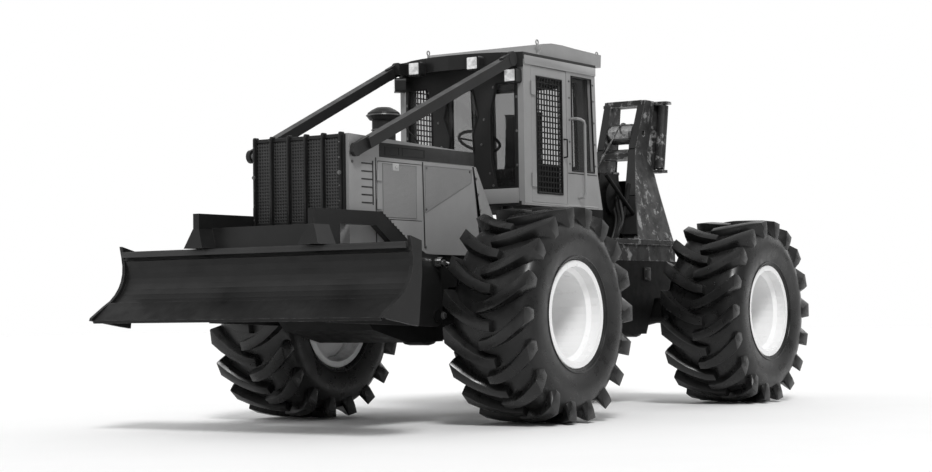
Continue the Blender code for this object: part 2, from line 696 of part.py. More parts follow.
def make_grille_door():
    """A framed panel with five upright bays between its ribs, hung on the machine's right side."""
    back = hood_front - gap
    front = back - grille_thickness
    leaf = box((-grille_half_width, front, grille_bottom),
               (grille_half_width, back, hood_top_front - 0.005))
    bays = []
    pitch = (2 * grille_half_width - 0.04) / grille_bays
    for i in range(grille_bays):
        left = -grille_half_width + 0.02 + i * pitch
        bays.append(box((left + grille_rib / 2, front - 0.05, grille_bottom + 0.03),
                        (left + pitch - grille_rib / 2, front + 0.025, hood_top_front - 0.03)))
    knuckles = []
    for z in (grille_bottom + 0.08, hood_top_front - 0.18):
        knuckles += [rod((-grille_hinge_x, grille_hinge_y, z), (-grille_hinge_x, grille_hinge_y, z + 0.08),
                         0.010, 12),
                     box((-grille_hinge_x, grille_hinge_y - 0.006, z),
                         (-grille_half_width + 0.02, grille_hinge_y + 0.006, z + 0.08))]
    piece("grille_door", "grille_door", "grille_paint", [leaf] + knuckles, cut=bays)


def make_cab_floor():
    low, high = cab_bottom, cab_bottom + cab_wall
    half = cab_half_width - cab_wall - gap
    plate = box((-half, cab_front + gap, low), (half, cab_rear_kick, high))
    mounts = []
    for y in (-1.02, -0.36):
        mounts += both(rod((0.39, y, frame_top + gap), (0.39, y, low + 0.01), 0.05, 16))
    pedestal = box((-0.20, seat_y - 0.20, low + 0.01),
                   (0.20, seat_y + 0.16, seat_top - seat_thickness - gap))
    piece("cab_floor", "front_chassis", "dark_paint", [plate, pedestal] + mounts)


def make_cab_walls():
    inner = cab_half_width - cab_wall
    front_half = cab_half_width - post_width - gap
    sill = cab_bottom + cab_wall + gap
    low_sill = 2.01
    centre = [(0.13, 2.89), (0.185, 2.66), (0.125, 2.49), (0.135, 2.33), (-0.135, 2.33), (-0.125, 2.49),
              (-0.185, 2.66), (-0.13, 2.89)]
    corner = [(0.375, 2.93), (0.315, 2.70), (0.315, 2.25), (0.36, low_sill), (0.57, low_sill), (0.57, 2.93)]
    cut_front = [prism(outline, "Y", cab_front - 0.1, cab_front + 0.1) for outline in (centre, corner)]
    cut_front.append(flipped(cut_front[1]))
    piece("cab_front_wall", "front_chassis", "dark_paint",
          [box((-front_half, cab_front, sill), (front_half, cab_front + cab_wall, cab_top))], cut=cut_front)
    side_outline = [(cab_front, cab_bottom), (cab_front, cab_top), (cab_rear - 0.02, cab_top),
                    (cab_rear + 0.01, 2.18),
                    (cab_rear_kick, cab_bottom + 0.01), (cab_rear_kick, cab_bottom)]
    door_hole = box((inner - 0.1, cab_door_front, cab_door_bottom),
                    (cab_half_width + 0.1, cab_door_rear, cab_door_top))
    window = prism([(-0.335, 2.19), (0.065, 2.19), (0.02, 3.05), (-0.335, 3.05)], "X", inner - 0.1,
                   cab_half_width + 0.1)
    post = box((cab_half_width - post_width, cab_front, sill), (cab_half_width, cab_front + 0.07, cab_top))
    for side, sign in sides:
        wall = prism(side_outline, "X", inner, cab_half_width)
        piece(f"cab_side_{side}", "front_chassis", "body_paint", on_side(sign, wall, post),
              cut=on_side(sign, door_hole, window), add=on_side(sign, *grab_rail()))
    rear = [(cab_rear - 0.022, cab_top), (cab_rear + 0.008, 2.18),
            (cab_rear_kick, cab_bottom + cab_wall + 0.02),
            (cab_rear_kick, sill), (cab_rear_kick - cab_wall,
                                    sill), (cab_rear - 0.027, 2.18), (cab_rear - 0.057, cab_top)]
    half = inner - gap
    rear_hole = box((-0.44, -0.2, 2.26), (0.44, 0.4, 3.0))
    piece("cab_rear_wall", "front_chassis", "body_paint", [prism(rear, "X", -half, half)], cut=[rear_hole])


def grab_rail():
    """The tall rail behind the door, bent in to the wall at its two ends."""
    x = cab_half_width + 0.075
    top, low = 2.66, 1.99
    path = [(cab_half_width - 0.01, -0.34, top), (x - 0.02, -0.335, top), (x, -0.30, top - 0.005),
            (x, -0.245, top - 0.02), (x, -0.225, top - 0.05)]
    path += [(x, -0.225, low), (x - 0.02, -0.225, low - 0.04), (cab_half_width - 0.01, -0.225, low - 0.05)]
    return [tube(path, 0.013, 10)]


def make_cab_door(side, sign):
    outer = cab_half_width - 0.002
    inner = outer - cab_door_thickness
    leaf = box((inner, cab_door_front + moving_gap, cab_door_bottom + moving_gap),
               (outer, cab_door_rear - moving_gap, cab_door_top - moving_gap))
    margin = door_window_margin
    window = box((inner - 0.1, cab_door_front + margin, cab_door_bottom + margin),
                 (outer + 0.1, cab_door_rear - margin, cab_door_top - margin))
    straps = []
    for z in (cab_door_bottom + 0.14, cab_door_top - 0.26):
        straps += [rod((cab_hinge_x, cab_hinge_y, z), (cab_hinge_x, cab_hinge_y, z + 0.12), door_pin_radius,
                       12),
                   box((cab_half_width + gap + 0.001, cab_hinge_y - 0.002, z),
                       (cab_hinge_x + 0.006, cab_hinge_y + 0.06, z + 0.12)),
                   box((outer - 0.01, cab_hinge_y + 0.02, z),
                       (cab_hinge_x + 0.006, cab_hinge_y + 0.06, z + 0.12))]
    piece(f"cab_door_{side}", f"cab_door_{side}", "body_paint", on_side(sign, leaf, *straps),
          cut=on_side(sign, window))


def light_box(x, y, z, turn=0.0):
    """A square lamp with rounded corners, its lens towards the blade until it is turned about its upright middle."""
    outline = []
    for cx, cz, start in ((1, 1, 0), (-1, 1, 90), (-1, -1, 180), (1, -1, 270)):
        outline += arc((cx * 0.04, cz * 0.04), 0.025, start, start + 90, 3)
    points, faces = prism(outline, "Y", -0.05, 0.045)
    swing = Vector((math.cos(turn), math.sin(turn)))
    return [Vector((p.x * swing.x - p.y * swing.y + x, p.x * swing.y + p.y * swing.x + y,
                    p.z + z)) for p in points], faces


def make_roof():
    low, high = cab_top + gap, cab_top + roof_thickness
    half = cab_half_width + 0.005
    arc_front = [(half, -1.165), (0.56, -1.195), (0.46, -1.26), (0.31, -1.315), (0.16, -1.345), (0, -1.355)]
    rim = arc_front + [(-x, y) for x, y in reversed(arc_front[:-1])]
    plate = prism(rim + [(-half, cab_rear - 0.01), (half, cab_rear - 0.01)], "Z", low, high)
    inner_rim = [(x * 0.94, y + 0.035) for x, y in rim]
    visor = prism(rim + list(reversed(inner_rim)), "Z", cab_top - 0.07, low + 0.01)
    clear = box((-1, cab_front - gap, cab_top - 0.2), (1, 0.5, low))
    lugs = both(box((0.545, -1.33, 3.07), (guard_seat_x, -1.20, 3.17)))
    lamps = [light_box(0.31, -1.385, 3.09), light_box(-0.31, -1.385, 3.09),
             light_box(0.58, cab_front - 0.0455, 2.98),
             light_box(-0.60, cab_front - 0.085, 2.98, math.radians(-50))]
    stems = both(box((0.56, -1.22, 3.02), (0.59, -1.16, low + 0.01)),
                 box((0.30, -1.36, 3.09), (0.32, -1.28, 3.13)))
    piece("cab_roof", "front_chassis", "dark_paint", [plate, visor] + lugs + stems, cut=[clear], add=lamps)
    crown = [(-0.83, high + gap), (-0.75, 3.305), (-0.60, 3.325), (-0.42, 3.328), (-0.20, 3.32),
             (0.30, 3.31), (0.29, high + gap)]
    piece("roof_unit", "front_chassis", "body_paint", [prism(crown, "X", -0.62, 0.62)])


def make_glass():
    inner = cab_half_width - cab_wall
    y = cab_front + cab_wall + gap
    piece("windshield", "front_chassis", "window_glass",
          [box((-0.595, y, 1.95), (0.595, y + glass_thickness, 3.06))])
    for side, sign in sides:
        pane = prism([(-0.37, 2.15), (0.075, 2.15), (0.04, 3.09), (-0.37, 3.09)], "X",
                     inner - gap - glass_thickness, inner - gap)
        piece(f"side_window_{side}", "front_chassis", "window_glass", on_side(sign, pane))
    lean = Vector((cab_rear - 0.027, 2.18)), Vector((cab_rear - 0.057, cab_top))
    low, high = (lean[0].lerp(lean[1], (z - 2.18) / (cab_top - 2.18)).x - gap for z in (2.22, 3.04))
    pane = prism([(low, 2.22), (high, 3.04), (high - glass_thickness, 3.04), (low - glass_thickness, 2.22)],
                 "X", -0.48, 0.48)
    piece("rear_window", "front_chassis", "window_glass", [pane])


def make_interior():
    floor = cab_bottom + cab_wall + gap
    low = seat_top - seat_thickness
    piece("seat_cushion", "front_chassis", "seat_cloth",
          [box((-0.23, seat_y - 0.27, low), (0.23, seat_y + 0.21, seat_top))])
    back = [(seat_y + 0.21 + gap, low + 0.02), (seat_y + 0.27, 2.80), (seat_y + 0.36, 2.80),
            (seat_y + 0.34, low + 0.02)]
    piece("seat_back", "front_chassis", "seat_cloth", [prism(back, "X", -0.22, 0.22)])
    hub = Vector((0, -0.86, 2.46))
    lean = Vector((0, 0.42, 0.91)).normalized()
    dash = prism([(-1.11, floor), (-1.11, 2.30), (-0.98, 2.34), (-0.90, 2.28), (-0.96, floor)], "X", -0.20,
                 0.20)
    column = rod(hub - lean * 0.30, hub, 0.035, 12)
    ring = wheel_ring(hub, lean, 0.19, 0.014)
    spokes = []
    for angle in (90, 210, 330):
        across = Vector((1, 0, 0)) * math.cos(math.radians(angle)) + \
            lean.cross(Vector((1, 0, 0))) * math.sin(math.radians(angle))
        spokes.append(rod(hub - lean * 0.005, hub - lean * 0.005 + across * 0.19, 0.009, 8))
    piece("steering_console", "front_chassis", "interior_plastic",
          [dash, column, rod(hub - lean * 0.02, hub + lean * 0.012, 0.045, 14)] + spokes + [ring])
    desk = prism([(-0.72, floor), (-0.72, 2.20), (-0.66, 2.26), (-0.12, 2.26), (-0.08, 2.20),
                  (-0.08, floor)], "X", 0.27, 0.42)
    levers = []
    for y in (-0.62, -0.50, -0.38):
        levers += [rod((0.345, y, 2.24), (0.345, y - 0.02, 2.38), 0.009, 8),
                   rod((0.345, y - 0.019, 2.36), (0.345, y - 0.026, 2.42), 0.02, 10)]
    piece("lever_console", "front_chassis", "interior_plastic", [desk] + levers)


def wheel_ring(centre, axis, radius, thickness):
    """A ring of round section about any axis, as points round a ring of sections."""
    across = Vector((1, 0, 0))
    upright = axis.cross(across)
    points, faces = [], []
    around, section = 20, 6
    for i in range(around):
        angle = 2 * math.pi * i / around
        out = across * math.cos(angle) + upright * math.sin(angle)
        for k in range(section):
            turn = 2 * math.pi * k / section
            points.append(centre + out * (radius + thickness * math.cos(turn)) + axis * thickness * math.sin(turn))
    for i in range(around):
        for k in range(section):
            a, b = i * section, ((i + 1) % around) * section
            faces.append((a + k, b + k, b + (k + 1) % section, a + (k + 1) % section))
    return points, faces


def flat_bar(start, end, half_width, half_depth):
    """A straight bar of square-cut section, its width along X."""
    way = (end - start).normalized()
    up = Vector((0, -way.z, way.y)).normalized() * half_depth
    cross = Vector((half_width, 0, 0))
    return loft([[at + up - cross, at + up + cross, at - up + cross,
                  at - up - cross] for at in (start, end)])


def make_brush_guards():
    """A square tube from the hood's nose up to the roof, with a flat lug at each end."""
    low, high = Vector(guard_foot), Vector(guard_top)
    way = (high - low).normalized()
    reach = Vector((guard_lug_half, 0, 0))
    for side, sign in sides:
        bar = flat_bar(low + way * 0.14, high - way * 0.12, guard_size / 2, guard_size / 2)
        lugs = [rod(low - reach, low + reach, 0.055, 16), rod(high - reach, high + reach, 0.065, 16)]
        necks = [flat_bar(low, low + way * 0.18, guard_lug_half, 0.050),
                 flat_bar(high - way * 0.16, high, guard_lug_half, 0.055)]
        piece(f"brush_guard_{side}", "front_chassis", "dark_paint", on_side(sign, bar, *lugs, *necks))


def make_tank():
    tank = [(cab_rear_kick + gap, 1.62), (cab_rear_kick + gap, cab_bottom + 0.05),
            (0.50, cab_bottom + 0.05), (0.50, 1.60), (0.30, 1.60)]
    piece("hydraulic_tank", "front_chassis", "frame_paint", [prism(tank, "X", -0.50, 0.50)])


def leg_section(z, x_in, x_out, y_front, y_rear):
    return [(x_in, y_front, z), (x_out, y_front, z), (x_out, y_rear, z), (x_in, y_rear, z)]


def make_arch():
    """Deck on the rear frame, two legs that lean in and back, and the head that carries the fairlead."""
    leg = loft([leg_section(deck_top - 0.02, 0.27, 0.45, arch_foot_front, arch_foot_rear),
                leg_section(2.05, 0.225, 0.345, 1.44, 1.97), leg_section(2.54, 0.145, 0.22, 1.68, 1.95),
                leg_section(arch_top, 0.155, 0.235, 1.88, 2.07)])
    deck = box((-0.47, 0.80, deck_top - deck_thickness), (0.47, 2.10, deck_top))
    webs = both(box((frame_half_width - frame_wall, 0.86, frame_top + gap),
                    (frame_half_width, 2.06, deck_top - 0.01)))
    head = [box((-0.20, 1.86, arch_top - 0.06), (0.20, 2.07, arch_top)),
            prism([(1.66, 2.44), (1.66, 2.50), (1.90, 2.56), (1.93, 2.44)], "X", -0.17, 0.17)]
    plates = []
    for (y, z), rise in ((side_roller_foot, -moving_gap - 0.045), (side_roller_head, moving_gap)):
        outline = [(0.17, y - 0.10), (0.25, y - 0.075), (0.37, y - 0.045), (0.37, y + 0.06),
                   (0.25, y + 0.06), (0.17, y + 0.02)]
        plates += both(prism(outline, "Z", z + rise + 0.008, z + rise + 0.038))
    foot, head_end = (Vector((0, *end)) for end in (side_roller_foot, side_roller_head))
    web = loft([[at + Vector((x, y, 0)) for x,
                 y in ((0.17, -0.03), (0.20, -0.05), (0.25, 0.03), (0.225, 0.05))]
                for at in (foot - Vector((0, 0, 0.02)), head_end + Vector((0, 0, 0.02)))])
    bores = [rod((-0.3, *fairlead_axis), (0.3, *fairlead_axis), 0.03 + running_gap, 16)]
    lean = (head_end - foot).normalized() * 0.08
    across = Vector((side_roller_x, 0, 0))
    bores += both(rod(foot + across - lean, head_end + across + lean, 0.022 + running_gap, 16))
    piece("arch", "rear_chassis", "worn_steel",
          [leg, flipped(leg), deck] + webs + head + plates + both(web), bore=bores)


def make_winch():
    y, z = winch_axis
    case = [(0.93, deck_top + gap), (1.26, deck_top + gap), (1.34, 1.95), (1.31, 2.26), (0.94, 2.26),
            (0.86, 2.0)]
    side_in = winch_half_length + moving_gap
    plates = both(prism(case, "X", side_in, side_in + 0.05))
    sump = box((-side_in - 0.02, 0.98, deck_top + gap), (side_in + 0.02, 1.22, deck_top + 0.09))
    gear = rod((side_in + 0.04, y, z), (side_in + 0.085, y, z), 0.17, 20)
    piece("winch_housing", "rear_chassis", "frame_paint", plates + [sump], add=[gear],
          bore=[rod((-side_in - 0.04, y, z), (side_in + 0.04, y, z), winch_shaft_radius + running_gap, 18)])
    half = winch_half_length
    profile = [(half + 0.04, 0), (half + 0.04, winch_shaft_radius), (half, winch_shaft_radius),
               (half, winch_flange_radius)]
    profile += [(half - 0.02, winch_flange_radius), (half - 0.02, winch_drum_radius)]
    profile += [(-x, r) for x, r in reversed(profile)]
    piece("winch_drum", "winch_drum", "edge_steel", [turned(profile, "X", (0, y, z), 32)], smooth=True)
    half = 0.135
    profile = [(-half - 0.015, 0), (-half - 0.015, 0.03), (-half, 0.03), (-half, fairlead_radius - 0.01),
               (-half + 0.03, fairlead_radius)]
    profile += [(-x, r) for x, r in reversed(profile)]
    piece("fairlead_roller", "fairlead_roller", "worn_steel",
          [turned(profile, "X", (0, *fairlead_axis), 28)], smooth=True)
    for side, sign in sides:
        low = Vector((sign * side_roller_x, *side_roller_foot))
        high = Vector((sign * side_roller_x, *side_roller_head))
        lean = (high - low).normalized()
        shaft = rod(low - lean * 0.045, high + lean * 0.045, 0.022, 16)
        piece(f"side_roller_{side}", f"side_roller_{side}", "worn_steel",
              [rod(low, high, side_roller_radius, 20), shaft], smooth=True)


def tangent_route():
    """The winch cable in the machine's middle plane: off the drum, over the fairlead roller and down behind it."""
    drum, roller = Vector(winch_axis), Vector(fairlead_axis)
    near = winch_drum_radius + cable_radius + 0.001
    far = fairlead_radius + cable_radius + 0.001
    line = roller - drum
    tilt = math.asin((near - far) / line.length)
    angle = math.atan2(line.y, line.x) + math.pi / 2 - tilt
    out = Vector((math.cos(angle), math.sin(angle)))
    points = [drum + out * near, drum.lerp(roller, 0.5) + out * (near + far) / 2]
    steps = 12
    for i in range(steps + 1):
        turn = angle * (1 - i / steps)
        points.append(roller + far * Vector((math.cos(turn), math.sin(turn))))
    points.append(points[-1] + Vector((0, -0.36)))
    return points


def make_cable():
    route = [(0, p.x, p.y) for p in tangent_route()]
    end = Vector(route[-1])
    ferrule = rod(end + Vector((0, 0, 0.02)), end - Vector((0, 0, 0.09)), 0.022, 12)
    piece("winch_cable", "rear_chassis", "worn_steel", [tube(route, cable_radius, 8), ferrule], smooth=True)


def main():
    clear_scene()
    make_materials()
    make_bodies()
    for side, sign in sides:
        make_wheel(f"front_{side}", f"front_{side}_wheel", sign, front_axle_y)
        make_wheel(f"rear_{side}", f"rear_{side}_wheel", sign, rear_axle_y)
        make_cab_door(side, sign)
        make_hood_door(side, sign)
    make_axles()
    make_front_frame()
    make_rear_frame()
    make_cylinders()
    make_blade()
    make_push_frame()
    make_hood()
    make_grille_door()
    make_cab_floor()
    make_cab_walls()
    make_roof()
    make_glass()
    make_interior()
    make_brush_guards()
    make_tank()
    make_arch()
    make_winch()
    make_cable()
    bodies["front_chassis"][0].location.y = -middle_of_length


main()
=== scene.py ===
import json
import math

import bmesh
import bpy
from mathutils import Matrix, Vector


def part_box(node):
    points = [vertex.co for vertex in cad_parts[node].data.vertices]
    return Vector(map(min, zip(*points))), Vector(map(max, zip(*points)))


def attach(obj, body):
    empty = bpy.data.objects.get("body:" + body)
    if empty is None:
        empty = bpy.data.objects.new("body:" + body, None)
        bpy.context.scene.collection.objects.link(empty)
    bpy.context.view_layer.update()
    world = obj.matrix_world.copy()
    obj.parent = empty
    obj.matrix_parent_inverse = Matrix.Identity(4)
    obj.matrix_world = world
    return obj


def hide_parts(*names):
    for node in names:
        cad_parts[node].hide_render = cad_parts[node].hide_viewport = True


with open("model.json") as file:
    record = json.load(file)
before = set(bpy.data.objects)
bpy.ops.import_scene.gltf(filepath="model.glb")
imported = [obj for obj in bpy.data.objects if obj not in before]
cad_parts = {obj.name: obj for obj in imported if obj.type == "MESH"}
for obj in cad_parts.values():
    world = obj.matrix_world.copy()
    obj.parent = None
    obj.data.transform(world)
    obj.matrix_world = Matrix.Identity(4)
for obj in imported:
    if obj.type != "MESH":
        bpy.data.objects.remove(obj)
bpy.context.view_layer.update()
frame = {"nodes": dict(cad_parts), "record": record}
nodes = frame["nodes"]
sides = (("left", 1), ("right", -1))
wheels = {f"{end}_{side}": sign for end in ("front", "rear") for side, sign in sides}
mid = 0.8075  # what is added to a Y that counts from the centre hinge, as the values below do
print("frame loaded")

cameraView = {"x": 9.5508, "y": -14.7006, "z": 0.9352, "turn": 33.541, "tilt": 2.197, "roll": -0.794, "lens": 74.83,
              "sensor": 36, "reach": 200}


def makeCamera(v):
    turn, tilt, roll = (math.radians(v[k]) for k in ("turn", "tilt", "roll"))
    ahead = Vector((-math.sin(turn) * math.cos(tilt), math.cos(turn) * math.cos(tilt), math.sin(tilt)))
    across = Vector((math.cos(turn), math.sin(turn), 0))
    up = across.cross(ahead)
    right = across * math.cos(roll) + up * math.sin(roll)
    top = up * math.cos(roll) - across * math.sin(roll)
    data = bpy.data.cameras.new("camera")
    data.lens = v["lens"]
    data.sensor_width = v["sensor"]
    data.clip_end = v["reach"]
    camera = bpy.data.objects.new("camera", data)
    bpy.context.scene.collection.objects.link(camera)
    turned = Matrix((right, top, -ahead)).transposed().to_4x4()
    camera.matrix_world = Matrix.Translation((v["x"], v["y"], v["z"])) @ turned
    bpy.context.scene.camera = camera


makeCamera(cameraView)


def wire(tree, source, target):
    tree.links.new(source, target)


def noiseNode(tree, coords, scale, detail=5.0, rough=0.6):
    node = tree.nodes.new("ShaderNodeTexNoise")
    node.inputs["Scale"].default_value = scale
    node.inputs["Detail"].default_value = detail
    node.inputs["Roughness"].default_value = rough
    wire(tree, coords, node.inputs["Vector"])
    return node.outputs["Fac"]


def spread(tree, value, low, high, outLow=0.0, outHigh=1.0):
    node = tree.nodes.new("ShaderNodeMapRange")
    node.inputs["From Min"].default_value = low
    node.inputs["From Max"].default_value = high
    node.inputs["To Min"].default_value = outLow
    node.inputs["To Max"].default_value = outHigh
    wire(tree, value, node.inputs["Value"])
    return node.outputs["Result"]


def sums(tree, kind, first, second):
    node = tree.nodes.new("ShaderNodeMath")
    node.operation = kind
    for slot, value in enumerate((first, second)):
        if isinstance(value, (int, float)):
            node.inputs[slot].default_value = value
        else:
            wire(tree, value, node.inputs[slot])
    return node.outputs["Value"]


def blendColours(tree, fac, first, second):
    node = tree.nodes.new("ShaderNodeMix")
    node.data_type = "RGBA"
    wire(tree, fac, node.inputs["Factor"])
    for slot, value in (("A", first), ("B", second)):
        socket = [s for s in node.inputs if s.name == slot and s.type == "RGBA"][0]
        if isinstance(value, (int, float)):
            socket.default_value = (value, value, value, 1)
        else:
            wire(tree, value, socket)
    return [s for s in node.outputs if s.type == "RGBA"][0]


# what every paint shares: how patches, wear and dust are cut from noise, and how an edge is told from a face
weather = {"patchScale": 2.5, "patchFrom": 0.38, "patchTo": 0.64, "darker": 0.82, "wearDetail": 9.0,
           "wearRough": 0.72, "wearSoft": 0.07, "dustGrey": 0.22, "dustFrom": 0.3, "dustTop": 1.7,
           "dustScale": 7.0, "grainScale": 260.0, "grainDetail": 3.0, "fineDetail": 8.0, "fineRough": 0.7,
           "bump": 0.12, "depth": 0.001, "specular": 0.5, "roughScale": 9.0, "roughFrom": 0.3, "roughTo": 0.7,
           "sheetDepth": 6.0, "coatRough": 0.12, "holeSoft": 0.10, "edgeWidth": 0.006, "edgeColour": 0.4,
           "edgeSamples": 4, "edgeFlat": 0.97, "edgeSharp": 0.80, "edgeScale": 14.0, "edgeFrom": 0.44,
           "edgeTo": 0.60}


def holePattern(tree, coords, plane, pitch, size):  # round holes on a square grid in one plane
    split = tree.nodes.new("ShaderNodeSeparateXYZ")
    wire(tree, coords, split.inputs[0])
    join = tree.nodes.new("ShaderNodeCombineXYZ")
    for slot, axis in enumerate(plane):
        wire(tree, split.outputs[axis], join.inputs[slot])
    cells = tree.nodes.new("ShaderNodeTexVoronoi")
    cells.voronoi_dimensions = "2D"
    cells.inputs["Randomness"].default_value = 0.0
    cells.inputs["Scale"].default_value = 1 / pitch
    wire(tree, join.outputs[0], cells.inputs["Vector"])
    return spread(tree, cells.outputs["Distance"], size, size + weather["holeSoft"])


def edgeMask(tree, coords, width):  # high along sharp edges, broken up by noise
    rounded = tree.nodes.new("ShaderNodeBevel")
    rounded.samples = weather["edgeSamples"]
    rounded.inputs["Radius"].default_value = width
    flat = tree.nodes.new("ShaderNodeNewGeometry")
    turn = tree.nodes.new("ShaderNodeVectorMath")
    turn.operation = "DOT_PRODUCT"
    wire(tree, rounded.outputs["Normal"], turn.inputs[0])
    wire(tree, flat.outputs["Normal"], turn.inputs[1])
    edge = spread(tree, turn.outputs["Value"], weather["edgeFlat"], weather["edgeSharp"])
    noise = noiseNode(tree, coords, weather["edgeScale"], weather["fineDetail"], weather["fineRough"])
    broken = spread(tree, noise, weather["edgeFrom"], weather["edgeTo"])
    return sums(tree, "MULTIPLY", edge, broken)


def surface(name, v):
    made = bpy.data.materials.new(name)
    made.use_nodes = True
    tree = made.node_tree
    shader = tree.nodes["Principled BSDF"]
    coords = tree.nodes.new("ShaderNodeTexCoord").outputs["Object"]
    noise = noiseNode(tree, coords, v.get("patchScale", weather["patchScale"]))
    patches = spread(tree, noise, weather["patchFrom"], weather["patchTo"])
    colour = blendColours(tree, patches, v["colour"], v.get("second", v["colour"] * weather["darker"]))
    if "wear" in v:
        noise = noiseNode(tree, coords, v["wearScale"], weather["wearDetail"], weather["wearRough"])
        worn = spread(tree, noise, v["wearAt"], v["wearAt"] + weather["wearSoft"])
        colour = blendColours(tree, worn, colour, v["wear"])
    if v.get("edge"):
        worn = sums(tree, "MULTIPLY", edgeMask(tree, coords, v.get("edgeWidth", weather["edgeWidth"])), v["edge"])
        colour = blendColours(tree, worn, colour, v.get("edgeColour", weather["edgeColour"]))
    if "dust" in v:
        split = tree.nodes.new("ShaderNodeSeparateXYZ")
        wire(tree, coords, split.inputs[0])
        top = v.get("dustTop", weather["dustTop"])
        low = spread(tree, split.outputs["Z"], weather["dustFrom"], top, v["dust"], 0.0)
        noise = noiseNode(tree, coords, weather["dustScale"], weather["fineDetail"], weather["fineRough"])
        dusty = sums(tree, "MULTIPLY", low, noise)
        colour = blendColours(tree, dusty, colour, weather["dustGrey"])
    height = noiseNode(tree, coords, v.get("grainScale", weather["grainScale"]), weather["grainDetail"])
    if "holes" in v:
        solid = holePattern(tree, coords, v["plane"], v["pitch"], v["holes"])
        colour = blendColours(tree, solid, v["holeColour"], colour)
        height = sums(tree, "ADD", height, sums(tree, "MULTIPLY", solid, weather["sheetDepth"]))
    wire(tree, colour, shader.inputs["Base Color"])
    noise = noiseNode(tree, coords, weather["roughScale"])
    rough = spread(tree, noise, weather["roughFrom"], weather["roughTo"], *v["rough"])
    wire(tree, rough, shader.inputs["Roughness"])
    bump = tree.nodes.new("ShaderNodeBump")
    bump.inputs["Strength"].default_value = v.get("bump", weather["bump"])
    bump.inputs["Distance"].default_value = v.get("depth", weather["depth"])
    wire(tree, height, bump.inputs["Height"])
    wire(tree, bump.outputs["Normal"], shader.inputs["Normal"])
    shader.inputs["Metallic"].default_value = v.get("metal", 0.0)
    shader.inputs["Coat Weight"].default_value = v.get("coat", 0.0)
    shader.inputs["Coat Roughness"].default_value = weather["coatRough"]
    shader.inputs["Sheen Weight"].default_value = v.get("sheen", 0.0)
    shader.inputs["Alpha"].default_value = v.get("alpha", 1.0)
    shader.inputs["Specular IOR Level"].default_value = v.get("specular", weather["specular"])
    if "glow" in v:
        shader.inputs["Emission Color"].default_value = (1, 1, 1, 1)
        shader.inputs["Emission Strength"].default_value = v["glow"]
    return made


# looks bear the names of the CAD's own slots, and extraLooks are for the fittings
looks = {
    "body_paint": {"colour": 0.265, "second": 0.235, "rough": (0.28, 0.40), "coat": 0.25, "dust": 0.12,
                   "bump": 0.04, "edge": 0.35, "specular": 0.4},
    "dark_paint": {"colour": 0.018, "second": 0.013, "rough": (0.34, 0.5), "bump": 0.06, "specular": 0.25,
                   "edge": 0.25, "edgeColour": 0.12},
    "frame_paint": {"colour": 0.003, "second": 0.005, "rough": (0.35, 0.6), "dust": 0.05, "dustTop": 1.4,
                    "bump": 0.15, "specular": 0.12, "edge": 0.2, "edgeColour": 0.08},
    "blade_paint": {"colour": 0.010, "second": 0.014, "patchScale": 1.4, "rough": (0.30, 0.46), "bump": 0.06,
                    "specular": 0.22, "edge": 0.35, "edgeColour": 0.14},
    "edge_steel": {"colour": 0.008, "second": 0.005, "rough": (0.28, 0.5), "metal": 0.2, "bump": 0.2,
                   "specular": 0.2, "edge": 0.5, "edgeColour": 0.25},
    "worn_steel": {"colour": 0.018, "second": 0.040, "patchScale": 5.0, "rough": (0.30, 0.7), "metal": 0.35,
                   "wear": 0.30, "wearScale": 7.0, "wearAt": 0.55, "bump": 0.45, "depth": 0.003,
                   "grainScale": 60.0, "edge": 0.9, "edgeColour": 0.7, "edgeWidth": 0.012},
    "rod_chrome": {"colour": 0.62, "second": 0.55, "rough": (0.10, 0.2), "metal": 1.0, "bump": 0.02,
                   "edge": 0.2, "edgeColour": 0.8},
    "rim_paint": {"colour": 0.88, "second": 0.85, "rough": (0.25, 0.36), "coat": 0.3, "bump": 0.03, "edge": 0.2,
                  "edgeColour": 0.6},
    "tyre_rubber": {"colour": 0.0075, "second": 0.013, "patchScale": 5.0, "rough": (0.20, 0.44), "bump": 0.2,
                    "depth": 0.0012, "grainScale": 120.0, "specular": 0.36, "edge": 0.3, "edgeColour": 0.06},
    "grille_paint": {"colour": 0.008, "second": 0.011, "rough": (0.32, 0.46), "bump": 0.08, "specular": 0.3,
                     "edge": 0.4, "edgeColour": 0.10},
    "seat_cloth": {"colour": 0.030, "second": 0.022, "rough": (0.8, 0.95), "bump": 0.5, "grainScale": 420.0,
                   "sheen": 0.2, "edge": 0.2, "edgeColour": 0.06},
    "interior_plastic": {"colour": 0.012, "second": 0.016, "rough": (0.5, 0.65), "bump": 0.25,
                         "grainScale": 500.0, "specular": 0.3, "edge": 0.2, "edgeColour": 0.05},
}
